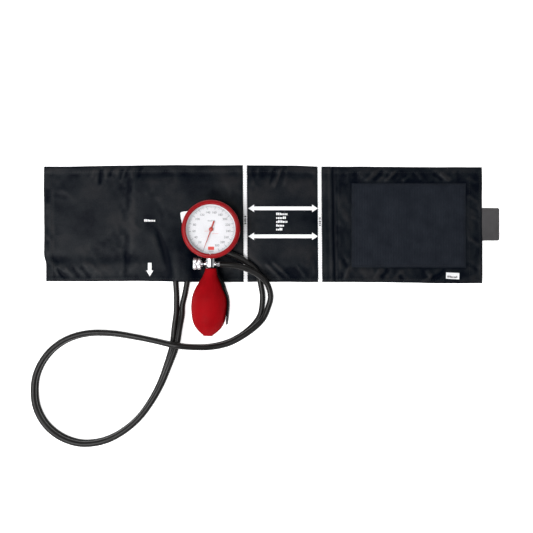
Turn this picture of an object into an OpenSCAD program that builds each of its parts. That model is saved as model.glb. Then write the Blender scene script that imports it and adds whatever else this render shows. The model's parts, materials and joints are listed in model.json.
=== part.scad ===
// Upper arm blood pressure monitor: an inflatable cuff laid flat, a palm handset with an
// aneroid gauge, deflation valve and squeeze bulb, and a pair of rubber hoses between them.
// +X runs along the cuff to its closure end, +Y from the bulb to the dial, +Z up from the
// table. The origin is on the table, under the middle of the cuff and handset together.

/* [Cuff] */
// Length of the cuff's fabric, without the pull tab
cuff_l = 544; // [520:1:560]
// Width of the cuff
cuff_w = 142; // [138:1:148]
// Thickness of the outer fabric panel
outer_t = 1.2; // [1.0:0.1:1.4]
// Thickness of the pocket that holds the bladder
pocket_t = 1.2; // [1.0:0.1:1.4]
// Thickness of the inner fabric panel over the pocket
inner_t = 1.2; // [1.0:0.1:1.4]
// Distance from the bladder end of the cuff to the sewn seam of the closure end
seam_at = 360; // [358:1:362]
// Distance from the bladder end to the first index tape
tape_a_at = 250; // [248:1:252]
// Distance from the bladder end to the second index tape
tape_b_at = 342.5; // [340:0.5:345]
// Width of an index tape
tape_w = 5.6; // [5:0.1:6]
// Distance from the bladder end to the hook patch
hook_at = 382; // [380:1:384]
// Length of the hook patch
hook_l = 141.5; // [138:0.5:142]
// Width of the hook patch
hook_w = 103.6; // [100:0.2:105]
// Distance from the cuff's lower edge to the hook patch
hook_up = 17.6; // [16:0.2:19]
// How far the pull tab stands out of the closure end
tab_out = 21.5; // [20:0.5:23]
// Width of the pull tab
tab_w = 40.8; // [38:0.2:42]
// Distance from the cuff's lower edge to the pull tab
tab_up = 50; // [48:1:52]

/* [Handset] */
// Distance from the bladder end of the cuff to the dial's axis
hand_at = 208.75; // [207:0.25:210]
// Distance from the dial's axis to the end of the bulb
hand_l = 130.2; // [129:0.2:131]
// How far the bulb's end lies past the cuff's lower edge
bulb_past = 67; // [66:0.5:68]
// Turn of the handset about the dial's axis, negative is clockwise from above
hand_turn = -1.7; // [-2.5:0.1:0]
// Height of the valve and bulb axis over the table
axis_z = 21.5; // [21.4:0.1:22]
// Outer radius of the bezel
bezel_r = 36; // [35.8:0.1:36.4]
// Radius of the dial window
window_r = 30; // [29.6:0.1:30.4]
// Largest radius of the bulb
bulb_r = 21.2; // [21:0.1:21.3]

/* [Hoses] */
// Outer diameter of a hose
hose_d = 7.3; // [7.2:0.1:7.4]
// Distance between the centre lines of the twin hoses
hose_pitch = 7.4; // [7.4:0.1:7.6]
// Distance between the two hoses where they enter the cuff
port_gap = 14.5; // [14:0.5:15]

/* [Hidden] */
$fn = 72;
cut = 0.5;

// Heights of the cuff's layers
pocket_z = outer_t;
inner_z = pocket_z + pocket_t;
cuff_t = inner_z + inner_t;

// The cuff's edges
cuff_x0 = -(cuff_l + tab_out) / 2;
cuff_x1 = cuff_x0 + cuff_l;
cuff_y0 = -(cuff_w + bulb_past) / 2 + bulb_past;
cuff_y1 = cuff_y0 + cuff_w;
seam_x = cuff_x0 + seam_at;
seam_gap = 0.15;

// The bladder between the panels
bladder_at = 104;
bladder_l = 232;
bladder_margin = 10;

// Labels sewn on the cuff
size_label_at = 169.8;
size_label_up = 72.2;
size_label_l = 42;
size_label_w = 13.8;
lot_label_at = 507;
lot_label_up = 7.6;
lot_label_l = 16.4;
lot_label_w = 7.8;

// The handset: its local Y is the bulb's axis, its local origin the dial's axis
hand_x = cuff_x0 + hand_at;
hand_y = cuff_y0 - bulb_past + hand_l;
hand_dir = [cos(hand_turn), sin(hand_turn), 0];

// The hoses' entry into the cuff
port_at_x = 171;
port_x = cuff_x0 + port_at_x;
port_l = 30;
port_z = pocket_z + hose_d / 2 + 0.05;
hump_w = 40;
hump_top_w = 20;
hump_z = port_z + hose_d / 2 + 0.7;

// Gauge case
case_z0 = 4.0;
case_wall = 1.8;
case_r = 34;
case_top = 31.6;
floor_z = case_z0 + 2.6;
lens_z = case_top + 1.0;
lens_t = 1.8;
bezel_z0 = 27.8;
bezel_z1 = 37;
connector_y = -27.2;
connector_z = 11;
connector_x0 = 10.5;
nipple_x = 20;

// Movement of the gauge
capsule_x = 6;
capsule_y = -4;
capsule_z = 8;
capsule_r = 17;
capsule_t = 4.8;
stud_r = 1.2;
stud_z = 14.0;
plate_r = 25.5;
lower_z = 13.4;
plate_t = 1.2;
bridge_z = 22;
post_r = 22.8;
post_angles = [30, 150, 270];
arbor_r = 0.75;
pivot_r = 0.8;
bore_gap = 0.05;
gear_module = 0.4;
pinion_teeth = 12;
sector_teeth = 96;
pressure_angle = 20;
centre_distance = gear_module * (pinion_teeth + sector_teeth) / 2;
sector_rest = -18.75;
rocker_x = 12;
rocker_z = 17.0;
dial_z = 25.2;
dial_t = 0.6;
dial_r = 30.4;
pointer_z = 28;
pointer_rest = -110 - hand_turn;

// Neck and valves
neck_r = 6;
spigot_r = 4.6;
neck_y0 = -30.5;
spigot_y0 = -47.4;
neck_y1 = -52;
valve_y = -42;
bore_r = 1.6;
stem_r = 2;
wheel_x0 = -11;
wheel_x1 = -20.8;
wheel_r = 7.5;
knurls = 32;
nipple_r = 3.1;
nipple_end = 12;
spoon_y = -45.6;
end_r = 5;
end_y = -122;

// Bulb: its neck starts at mouth_y and its wall is bulb_wall thick
mouth_y = -47.6;
bulb_wall = 2.2;

// Route of the twin hoses: x, y, z of the lower hose, and the roll of the upper one, which
// is 0 straight above it, positive to the left of the direction of travel
TWIN = [
    [-14.8, -80.6, 3.8, 45], [-23.9, -93.1, 3.8, 24], [-38.4, -105, 3.8, 12],
    [-55.4, -113.6, 3.8, 10], [-76, -118.4, 5.4, 4], [-97, -118.6, 10.9, 0],
    [-118, -116, 16.5, 0], [-142, -111.5, 10.7, -4], [-168, -107, 5.4, -8],
    [-196, -102.9, 3.8, -10], [-224, -102.4, 3.8, -10], [-248, -108, 3.8, -10],
    [-266.9, -119.1, 3.8, -10], [-280.7, -134.2, 3.8, -10], [-289.8, -153, 3.8, -10],
    [-292.2, -173, 3.8, -12], [-289.4, -193.4, 3.8, -12], [-279.2, -212.8, 3.8, -12],
    [-262.4, -227.6, 3.8, -12], [-242, -236, 3.8, -10], [-221.8, -237, 3.8, -8],
    [-201, -231.8, 3.8, -8], [-181.2, -220.6, 3.8, -8], [-163.9, -205, 3.8, -10],
    [-149.6, -184.9, 3.8, -15], [-138.4, -163.3, 3.8, -22], [-130, -140, 3.8, -32],
    [-123, -116, 3.8, -50], [-120.6, -94, 3.8, -70], [-118.5, -79, 3.8, -85]
];
// From the pump nipple to the twin part, and from there to the cuff
PUMP_LEAD = [
    [-50, -17.5, 21.3], [-37, -20, 19.6], [-25, -25, 17.2], [-14, -31.5, 14.8],
    [-6.5, -39.5, 12.6], [-2.5, -49, 10.7], [-1.5, -59, 9.3], [-4.5, -70, 8.8]
];
PUMP_TAIL = [[-110.5, -67, 3.9], [-107.5, -54, 4.3]];
// From the gauge's connector to the twin part, and from there to the cuff
GAUGE_LEAD = [
    [-48, -5, 10.8], [-39.5, -9, 9.6], [-30, -15, 8.3], [-21, -22.5, 7.6],
    [-16, -31, 7.5], [-13.5, -42, 6.8], [-11.5, -55, 4.8], [-12, -68, 3.9]
];
GAUGE_TAIL = [[-118, -67, 3.9], [-118, -54, 4.3]];
hose_sides = 10;

function unit(v) = v / norm(v);
function travel(pts, i) = unit(pts[min(i + 1, len(pts) - 1)] - pts[max(i - 1, 0)]);
function place(p) = [for (k = [0:2]) p[k]];
function left_of(t) = unit([-t[1], t[0], 0]);
function twin_low() = [for (q = TWIN) place(q)];
function twin_high() = [
    for (i = [0:len(TWIN) - 1])
        let (q = TWIN[i], t = travel(twin_low(), i))
            place(q) + hose_pitch * (cos(q[3]) * [0, 0, 1] + sin(q[3]) * left_of(t))
];
function in_hand_point(x, y, z) = [
    hand_x + x * cos(hand_turn) - y * sin(hand_turn),
    hand_y + x * sin(hand_turn) + y * cos(hand_turn),
    z
];
function pump_route() = concat(
    [in_hand_point(nipple_end, valve_y, axis_z)], PUMP_LEAD, twin_high(), PUMP_TAIL,
    [[port_x + port_gap / 2, cuff_y0, port_z]]
);
function gauge_route() = concat(
    [in_hand_point(nipple_x, connector_y, connector_z)], GAUGE_LEAD, twin_low(), GAUGE_TAIL,
    [[port_x - port_gap / 2, cuff_y0, port_z]]
);

// Involute gear outlines
function inv(a) = tan(a) - a * PI / 180;
function flank(teeth, thin, r) =
    let (base = gear_module * teeth / 2 * cos(pressure_angle))
        90 / teeth - thin
        + (inv(pressure_angle) - inv(acos(min(1, base / max(r, base))))) * 180 / PI;
function polar(r, a) = [r * cos(a), r * sin(a)];
function tooth(teeth, thin, r0, r1, middle) =
    let (steps = [0, 0.35, 0.65, 1])
        concat(
            [for (s = steps) let (r = r0 + s * (r1 - r0)) polar(r, middle - flank(teeth, thin, r))],
            [for (s = steps) let (r = r1 - s * (r1 - r0)) polar(r, middle + flank(teeth, thin, r))]
        );
function teeth_outline(teeth, thin, r0, r1, first, last) = [
    for (i = [first:last]) each tooth(teeth, thin, r0, r1, 360 / teeth * i)
];

module in_hand() {
    translate([hand_x, hand_y, 0]) rotate([0, 0, hand_turn]) children();
}

// Local Z of the children runs along the handset's -Y, from the dial to the bulb
module along_axis(y, x = 0, z = axis_z) {
    translate([x, y, z]) rotate([90, 0, 0]) children();
}

// Local Z of the children runs along the handset's +X
module across_axis(x, y, z) {
    translate([x, y, z]) rotate([0, 90, 0]) children();
}

module slab(x0, x1, y0, y1, z0, z1) {
    translate([x0, y0, z0]) cube([x1 - x0, y1 - y0, z1 - z0]);
}

module rounded_plate(w, l, r, h) {
    linear_extrude(h) hull() {
        for (x = [r, w - r], y = [r, l - r]) translate([x, y]) circle(r, $fn = 32);
    }
}

module tube_along(pts, start, end) {
    n = len(pts);
    rings = [
        for (i = [0:n - 1])
            let (
                t = i == 0 ? start : i == n - 1 ? end : travel(pts, i),
                side = left_of(t),
                up = cross(t, side)
            )
                for (k = [0:hose_sides - 1])
                    let (a = 360 * k / hose_sides)
                        pts[i] + hose_d / 2 * (cos(a) * side + sin(a) * up)
    ];
    walls = [
        for (i = [0:n - 2], k = [0:hose_sides - 1])
            let (m = (k + 1) % hose_sides, a = i * hose_sides, b = a + hose_sides)
                each [[a + k, b + m, a + m], [a + k, b + k, b + m]]
    ];
    cap_a = [for (k = [0:hose_sides - 1]) k];
    cap_b = [for (k = [hose_sides - 1:-1:0]) (n - 1) * hose_sides + k];
    polyhedron(rings, concat(walls, [cap_a, cap_b]));
}

// ---- Cuff ----

module outer_panel() {
    color([0.12, 0.13, 0.15]) difference() {
        slab(cuff_x0, seam_x - seam_gap, cuff_y0, cuff_y1, 0, outer_t);
        loop_space();
    }
}

module loop_space() {
    slab(cuff_x0 + 10, seam_x - 70, cuff_y0 + 9, cuff_y1 - 9, -cut, 0.6);
}

module loop_field() {
    color([0.08, 0.09, 0.11]) intersection() {
        slab(cuff_x0, seam_x, cuff_y0, cuff_y1, 0, outer_t);
        loop_space();
    }
}

module bladder_space(inset) {
    slab(
        cuff_x0 + bladder_at + inset, cuff_x0 + bladder_at + bladder_l - inset,
        cuff_y0 + bladder_margin + inset, cuff_y1 - bladder_margin - inset,
        pocket_z, inner_z - inset
    );
}

module bladder() {
    color([0.25, 0.25, 0.26]) difference() {
        bladder_space(0.2);
        both_ports(hose_d / 2 + 0.2);
    }
}

module port_at(side, r) {
    translate([port_x + side * port_gap / 2, cuff_y0, port_z]) rotate([-90, 0, 0])
        cylinder(h = port_l, r = r);
}

module both_ports(r) {
    port_at(-1, r);
    port_at(1, r);
}

module inner_panel() {
    color([0.13, 0.14, 0.16]) difference() {
        union() {
            slab(cuff_x0, seam_x - seam_gap, cuff_y0, cuff_y1, pocket_z, cuff_t);
            translate([port_x, cuff_y0 + port_l + 2, cuff_t]) rotate([90, 0, 0])
                linear_extrude(port_l + 2) polygon([
                    [-hump_w / 2, -inner_t / 2], [hump_w / 2, -inner_t / 2], [hump_w / 2, 0],
                    [hump_top_w / 2, hump_z - cuff_t], [-hump_top_w / 2, hump_z - cuff_t],
                    [-hump_w / 2, 0]
                ]);
        }
        bladder_space(0);
        both_ports(hose_d / 2);
    }
}

module port(side) {
    difference() {
        port_at(side, hose_d / 2);
        translate([port_x + side * port_gap / 2, cuff_y0 + 1, port_z]) rotate([-90, 0, 0])
            cylinder(h = port_l, r = 1.6);
    }
}

module port_gauge() {
    color([0.1, 0.1, 0.1]) port(-1);
}

module port_pump() {
    color([0.1, 0.1, 0.1]) port(1);
}

module index_tape(at) {
    slab(
        cuff_x0 + at - tape_w / 2, cuff_x0 + at + tape_w / 2, cuff_y0, cuff_y1,
        cuff_t, cuff_t + 0.3
    );
}

module index_tape_a() {
    color("white") index_tape(tape_a_at);
}

module index_tape_b() {
    color("white") index_tape(tape_b_at);
}

module size_label() {
    color("white") translate([cuff_x0 + size_label_at, cuff_y0 + size_label_up, cuff_t])
        rounded_plate(size_label_l, size_label_w, 2, 0.25);
}

// ---- Closure end ----

module closure_outer_panel() {
    color([0.12, 0.13, 0.15])
        slab(seam_x + seam_gap, cuff_x1, cuff_y0, cuff_y1, 0, outer_t);
}

module closure_inner_panel() {
    color([0.13, 0.14, 0.16]) difference() {
        slab(seam_x + seam_gap, cuff_x1, cuff_y0, cuff_y1, outer_t, cuff_t);
        tab_space();
    }
}

module tab_space() {
    slab(cuff_x1 - 8, cuff_x1 + cut, cuff_y0 + tab_up, cuff_y0 + tab_up + tab_w, outer_t, 2.8);
}

module hook_patch() {
    color([0.11, 0.14, 0.18]) translate([cuff_x0 + hook_at, cuff_y0 + hook_up, cuff_t])
        cube([hook_l, hook_w, 1]);
}

module pull_tab() {
    color([0.33, 0.32, 0.33]) translate([cuff_x1 - 8, cuff_y0 + tab_up, outer_t])
        rounded_plate(tab_out + 8, tab_w, 2.5, 1.6);
}

module lot_label() {
    color("white") translate([cuff_x0 + lot_label_at, cuff_y0 + lot_label_up, cuff_t])
        rotate([0, 0, -2]) translate([-lot_label_l / 2, -lot_label_w / 2, 0])
            cube([lot_label_l, lot_label_w, 0.2]);
}

// ---- Gauge case ----

module case_cup() {
    color([0.1, 0.1, 0.11]) in_hand() difference() {
        rotate_extrude() polygon([
            [20, case_z0], [25, case_z0], [28.2, 6.2], [31, 11], [33.2, 17], [case_r, 22],
            [case_r, case_top], [case_r - case_wall, case_top], [case_r - case_wall, 22],
            [31.3, 17], [29, 11.6], [26.6, 7.6], [24.6, floor_z], [0, floor_z],
            [0, case_z0 + 1.2], [20, case_z0 + 1.2]
        ]);
        along_axis(neck_y0) cylinder(h = 10, r = neck_r);
        across_axis(connector_x0, connector_y, connector_z) cylinder(h = 12, r = 4);
    }
}

module case_back() {
    color([0.15, 0.15, 0.16]) in_hand() translate([0, 0, case_z0]) difference() {
        cylinder(h = 1.2, r = 20);
        for (a = [60, 180, 300]) rotate([0, 0, a]) translate([14, 0, -cut])
            cylinder(h = 0.8 + cut, r = 1.6);
    }
}

module bezel_ring() {
    color([0.75, 0.08, 0.1]) in_hand() rotate_extrude() polygon([
        [case_r, bezel_z0], [bezel_r - 0.5, bezel_z0], [bezel_r, bezel_z0 + 1], [bezel_r, 33.5],
        [bezel_r - 0.9, 35.6], [bezel_r - 2.5, 36.7], [bezel_r - 4, bezel_z1],
        [window_r + 1, bezel_z1 - 0.2], [window_r, bezel_z1 - 1.4],
        [window_r, lens_z + lens_t], [case_r, lens_z + lens_t]
    ]);
}

module lens_gasket() {
    color([0.1, 0.1, 0.1]) in_hand() translate([0, 0, case_top]) difference() {
        cylinder(h = lens_z - case_top, r = case_r - 0.1);
        translate([0, 0, -cut]) cylinder(h = 3, r = case_r - case_wall);
    }
}

module lens() {
    color([0.9, 0.95, 1.0, 0.3]) in_hand() translate([0, 0, lens_z])
        cylinder(h = lens_t, r = case_r - 0.1);
}

module gauge_connector() {
    color([0.8, 0.8, 0.82]) in_hand() across_axis(0, connector_y, connector_z) difference() {
        union() {
            translate([0, 0, connector_x0]) cylinder(h = 17 - connector_x0, r = 4);
            translate([0, 0, 17]) cylinder(h = nipple_x - 17, r = nipple_r);
        }
        translate([0, 0, connector_x0 - cut]) cylinder(h = 12, r = 1.4);
    }
}

// ---- Movement ----

module capsule_post() {
    color([0.75, 0.6, 0.3]) in_hand() translate([capsule_x, capsule_y, floor_z]) difference() {
        cylinder(h = capsule_z - floor_z, r = 3);
        translate([0, 0, -cut]) cylinder(h = 4, r = 1);
    }
}

module capsule() {
    color([0.8, 0.66, 0.4]) in_hand() translate([capsule_x, capsule_y, capsule_z])
        rotate_extrude() polygon([
            [1, 0], [5, 0], [7, 0.7], [9, 0], [11, 0.7], [13, 0], [15, 1.2], [capsule_r, 2],
            [capsule_r, 2.8], [15, 3.6], [13, capsule_t], [11, 4.1], [9, capsule_t],
            [7, 4.1], [5, capsule_t], [0, capsule_t], [0, 4.2], [5, 4.2], [7, 3.5], [9, 4.2],
            [11, 3.5], [13, 4.1], [14.6, 2.9], [14.6, 1.9], [13, 0.7], [11, 1.3], [9, 0.6],
            [7, 1.3], [5, 0.6], [1, 0.6]
        ]);
}

module capsule_stud() {
    color([0.7, 0.7, 0.72]) in_hand() {
        translate([capsule_x, capsule_y, capsule_z + capsule_t + 0.05]) {
            cylinder(h = stud_z - capsule_z - capsule_t - 0.05, r = stud_r);
        }
        translate([capsule_x, capsule_y, stud_z]) sphere(r = stud_r);
    }
}

module post_at(i, z0, z1, r) {
    rotate([0, 0, post_angles[i]]) translate([post_r, 0, z0]) cylinder(h = z1 - z0, r = r);
}

module pillar(i) {
    color([0.75, 0.6, 0.3]) in_hand() post_at(i, floor_z, lower_z, 1.8);
}

module bridge_post(i) {
    color([0.75, 0.6, 0.3]) in_hand() post_at(i, lower_z + plate_t, bridge_z, 1.5);
}

module dial_post(i) {
    color([0.75, 0.6, 0.3]) in_hand() post_at(i, bridge_z + plate_t, dial_z, 1.3);
}

module lower_plate() {
    color([0.78, 0.64, 0.35]) in_hand() difference() {
        union() {
            translate([0, 0, lower_z]) cylinder(h = plate_t, r = plate_r);
            for (y = [-13, 4])
                slab(rocker_x - 1.8, rocker_x + 1.8, y - 0.8, y + 0.8, lower_z, 18.4);
        }
        translate([0, 0, lower_z - cut]) cylinder(h = 3, r = arbor_r + bore_gap);
        translate([0, centre_distance, lower_z - cut]) cylinder(h = 3, r = pivot_r + bore_gap);
        translate([capsule_x, capsule_y, lower_z - cut]) cylinder(h = 3, r = stud_r + 0.6);
        along_axis(6, rocker_x, rocker_z) cylinder(h = 22, r = pivot_r + bore_gap);
    }
}

module upper_plate() {
    color([0.78, 0.64, 0.35]) in_hand() translate([0, 0, bridge_z]) difference() {
        cylinder(h = plate_t, r = plate_r);
        translate([0, 0, -cut]) cylinder(h = 3, r = arbor_r + bore_gap);
        translate([0, centre_distance, -cut]) cylinder(h = 3, r = pivot_r + bore_gap);
        for (a = [210, 330]) rotate([0, 0, a]) translate([14, 0, -cut]) cylinder(h = 3, r = 6);
    }
}

module hairspring() {
    turns = 4;
    steps = 20 * turns;
    start_r = 2.2;
    growth = 4 / steps;
    band = 0.3;
    color([0.5, 0.5, 0.55]) in_hand() translate([0, 0, 21.1]) linear_extrude(0.6) polygon(concat(
        [for (i = [0:steps]) polar(start_r + growth * i, 18 * i)],
        [for (i = [steps:-1:0]) polar(start_r + growth * i + band, 18 * i)]
    ));
}

module rocker() {
    color([0.7, 0.7, 0.72]) in_hand() {
        along_axis(5.6, rocker_x, rocker_z) cylinder(h = 20.2, r = pivot_r);
        along_axis(2.6, rocker_x, rocker_z) cylinder(h = 14, r = 1.3);
        slab(capsule_x - 1, rocker_x, capsule_y - 1.2, capsule_y + 1.2, 15.35, 16.3);
        translate([rocker_x, -1, rocker_z]) cylinder(h = 1.8, r = 0.5);
    }
}

module sector_gear() {
    tip_r = gear_module * (sector_teeth / 2 + 0.7);
    root_r = gear_module * (sector_teeth / 2 - 1.25);
    rim_r = root_r - 1.6;
    span = 8;
    pitch_angle = 360 / sector_teeth;
    color([0.8, 0.68, 0.4]) in_hand() translate([0, centre_distance, 0])
        rotate([0, 0, sector_rest - 90]) {
            translate([0, 0, 19]) linear_extrude(1.2) polygon(concat(
                teeth_outline(sector_teeth, 0.09, root_r, tip_r, -span, span),
                [for (i = [span:-1:-span]) polar(rim_r, pitch_angle * i)]
            ));
            translate([0, 0, 19]) linear_extrude(1.2) polygon([
                polar(1.5, 80), polar(rim_r + 0.4, 20), polar(rim_r + 0.4, 14), polar(6, 0),
                polar(rim_r + 0.4, -14), polar(rim_r + 0.4, -20), polar(1.5, -80)
            ]);
            translate([0, 0, 18.4]) cylinder(h = 2.4, r = 2.2);
            translate([0, 0, lower_z + 0.1]) cylinder(h = 9.6, r = pivot_r);
        }
}

module pointer_arbor() {
    pinion_tip = gear_module * (pinion_teeth / 2 + 1);
    pinion_root = gear_module * (pinion_teeth / 2 - 1.25);
    color([0.7, 0.7, 0.72]) in_hand() {
        translate([0, 0, lower_z + 0.1]) cylinder(h = pointer_z - lower_z - 0.1, r = arbor_r);
        translate([0, 0, 18.6]) rotate([0, 0, 90 + 180 / pinion_teeth]) linear_extrude(2)
            polygon(teeth_outline(
                pinion_teeth, 0.72, pinion_root, pinion_tip, 0, pinion_teeth - 1
            ));
    }
}

module pointer() {
    tip = 24.6;
    tail = 10.7;
    color([0.8, 0.2, 0.15]) in_hand() rotate([0, 0, pointer_rest]) {
        translate([0, 0, pointer_z]) linear_extrude(0.5) polygon([
            [-tail, -1], [-1, -0.9], [tip, -0.2], [tip, 0.2], [-1, 0.9], [-tail, 1]
        ]);
        translate([0, 0, pointer_z]) cylinder(h = 1.4, r = 2.65);
    }
}

module dial_plate() {
    color("white") in_hand() translate([0, 0, dial_z]) difference() {
        cylinder(h = dial_t, r = dial_r);
        translate([0, 0, -cut]) cylinder(h = 2, r = 1.5);
    }
}

// ---- Neck and valves ----

module neck_block() {
    color([0.85, 0.85, 0.87]) in_hand() difference() {
        union() {
            along_axis(neck_y0) cylinder(h = neck_y0 - spigot_y0, r = neck_r);
            along_axis(spigot_y0) cylinder(h = spigot_y0 - neck_y1, r = spigot_r);
        }
        along_axis(neck_y0 + cut) cylinder(h = 23, r = bore_r);
        along_axis(-46.4) cylinder(h = 7, r = 3);
        across_axis(-neck_r - 1, valve_y, axis_z) cylinder(h = 6, r = stem_r + 0.6);
        across_axis(-neck_r - 1, valve_y, axis_z) cylinder(h = 2.4, r = 3);
        across_axis(0, valve_y, axis_z) cylinder(h = neck_r + 1, r = 1.4);
        across_axis(neck_r - 1.5, valve_y, axis_z) cylinder(h = 3, r = 2.6);
    }
}

module pump_nipple() {
    color([0.85, 0.85, 0.87]) in_hand() across_axis(0, valve_y, axis_z) difference() {
        union() {
            translate([0, 0, neck_r - 1.5]) cylinder(h = 2, r = 2.6);
            translate([0, 0, neck_r]) cylinder(h = nipple_end - neck_r, r = nipple_r);
        }
        cylinder(h = 13, r = 1.4);
    }
}

module valve_bush() {
    color([0.85, 0.85, 0.87]) in_hand() across_axis(0, valve_y, axis_z) difference() {
        translate([0, 0, -neck_r - 1]) cylinder(h = 2.4, r = 3);
        translate([0, 0, -neck_r - 2]) cylinder(h = 4, r = stem_r + bore_gap);
    }
}

module valve_needle() {
    color([0.3, 0.3, 0.32]) in_hand() across_axis(0, valve_y, axis_z) {
        translate([0, 0, wheel_x1 + 1]) cylinder(h = -3.4 - wheel_x1 - 1, r = stem_r);
        translate([0, 0, -3.4]) cylinder(h = 1.8, r1 = stem_r, r2 = 0.5);
    }
}

module knurled(h, r) {
    linear_extrude(h) polygon([
        for (i = [0:2 * knurls - 1]) polar(i % 2 == 0 ? r : r - 0.45, 180 * i / knurls)
    ]);
}

module valve_wheel() {
    half = (wheel_x0 - wheel_x1 - 1) / 2;
    color([0.8, 0.8, 0.82]) in_hand() across_axis(0, valve_y, axis_z) difference() {
        union() {
            translate([0, 0, wheel_x1]) knurled(half, wheel_r);
            translate([0, 0, wheel_x1 + half]) cylinder(h = 1, r = wheel_r - 0.9);
            translate([0, 0, wheel_x0 - half]) knurled(half, wheel_r);
            translate([0, 0, wheel_x0]) cylinder(h = 1.8, r = 3.6);
        }
        translate([0, 0, wheel_x1 + 0.8]) cylinder(h = 14, r = stem_r + bore_gap);
    }
}

module outlet_seat() {
    color([0.6, 0.6, 0.62]) in_hand() along_axis(-46.4) difference() {
        cylinder(h = 1, r = 3);
        translate([0, 0, -cut]) cylinder(h = 2, r = 1.2);
    }
}

module outlet_disc() {
    color([0.15, 0.15, 0.15]) in_hand() along_axis(-47.5) cylinder(h = 0.8, r = 2.4);
}

module outlet_guide() {
    color([0.6, 0.6, 0.62]) in_hand() along_axis(-50.2) difference() {
        cylinder(h = 1.8, r = 3);
        translate([0, 0, -cut]) cylinder(h = 3, r = 1.2);
    }
}

module end_valve() {
    color([0.85, 0.85, 0.87]) in_hand() along_axis(end_y) difference() {
        cylinder(h = 8.2, r = end_r - 0.3);
        translate([0, 0, -cut]) cylinder(h = 3, r = 1.3);
        translate([0, 0, 1.6]) cylinder(h = 7, r = 2.6);
    }
}

module end_valve_cap() {
    color([0.8, 0.8, 0.82]) in_hand() along_axis(end_y - 6.9) difference() {
        cylinder(h = 1.2, r = 2.6);
        translate([0, 0, -cut]) cylinder(h = 3, r = 1);
    }
}

module intake_ball() {
    color([0.7, 0.7, 0.72]) in_hand() along_axis(end_y - 4.85) sphere(r = 2);
}

// ---- Bulb and spoon ----

// Distance from the axis and from the mouth, down to the foot around the intake valve
bulb_outline = [
    [6.7, 0], [7.3, 3.5], [8.5, 7.6], [10, 11.2], [12.1, 15], [14.2, 18.6], [16.2, 22.2],
    [17.9, 26], [19.2, 29.6], [20.1, 33.2], [20.8, 37], [bulb_r, 43], [bulb_r, 48],
    [bulb_r - 0.3, 51.6], [20.6, 55.2], [19.9, 59], [19.2, 62.6], [18.1, 66.2], [16.5, 70],
    [14.1, 73.6], [10.9, 77.2], [7.6, 80.2], [5.6, 81.8], [5.4, 82.5]
];

module bulb() {
    last = len(bulb_outline) - 1;
    mouth_r = spigot_r + 0.3;
    hollow = [for (i = [last - 4:-1:4]) bulb_outline[i] - [bulb_wall, 0]];
    color([0.72, 0.08, 0.1]) in_hand() along_axis(mouth_y) rotate_extrude() polygon(concat(
        [[mouth_r, 0]], bulb_outline, [[end_r, 82.5], [end_r, 74.2]], hollow, [[mouth_r, 12]]
    ));
}

// Outer face of the spoon's arm: distance from the axis, and along it from the collar
spoon_outline = [
    [9.8, 3], [11.4, 8.4], [15.2, 15.4], [17.6, 20], [20, 27.3], [22.6, 34.6],
    [bulb_r + 2.7, 42], [bulb_r + 2.9, 49.3], [23.4, 60.3], [22.6, 67.6], [22, 70]
];

module spoon() {
    t = 1.8;
    collar_t = 1.6;
    spread = 44;
    last = len(spoon_outline) - 1;
    inner_face = [for (i = [last:-1:0]) spoon_outline[i] - [t, 0]];
    color([0.08, 0.08, 0.09]) in_hand() along_axis(spoon_y) {
        difference() {
            cylinder(h = collar_t, r = 7.9);
            translate([0, 0, -cut]) cylinder(h = 3, r = neck_r + 0.08);
        }
        rotate([0, 0, -spread / 2]) rotate_extrude(angle = spread) polygon(concat(
            [[7.5, 0], [8.8, 0.4]], spoon_outline, inner_face, [[7.5, collar_t]]
        ));
    }
}

// ---- Hoses ----

module hose_pump() {
    color([0.12, 0.12, 0.12]) tube_along(pump_route(), hand_dir, [0, 1, 0]);
}

module hose_gauge() {
    color([0.12, 0.12, 0.12]) tube_along(gauge_route(), hand_dir, [0, 1, 0]);
}

outer_panel();
loop_field();
bladder();
inner_panel();
port_gauge();
port_pump();
index_tape_a();
index_tape_b();
size_label();
closure_outer_panel();
closure_inner_panel();
hook_patch();
pull_tab();
lot_label();
case_cup();
case_back();
capsule_post();
capsule();
pillar(0);  // pillar_1
pillar(1);  // pillar_2
pillar(2);  // pillar_3
lower_plate();
bridge_post(0);  // bridge_post_1
bridge_post(1);  // bridge_post_2
bridge_post(2);  // bridge_post_3
upper_plate();
hairspring();
dial_post(0);  // dial_post_1
dial_post(1);  // dial_post_2
dial_post(2);  // dial_post_3
dial_plate();
lens_gasket();
lens();
bezel_ring();
gauge_connector();
neck_block();
pump_nipple();
valve_bush();
outlet_seat();
outlet_guide();
end_valve();
end_valve_cap();
capsule_stud();
rocker();
sector_gear();
pointer();
pointer_arbor();
valve_needle();
valve_wheel();
spoon();
bulb();
intake_ball();
outlet_disc();
hose_pump();
hose_gauge();
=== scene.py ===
import json
import math

import bmesh
import bpy
import numpy as np
from mathutils import Matrix, Vector

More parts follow.
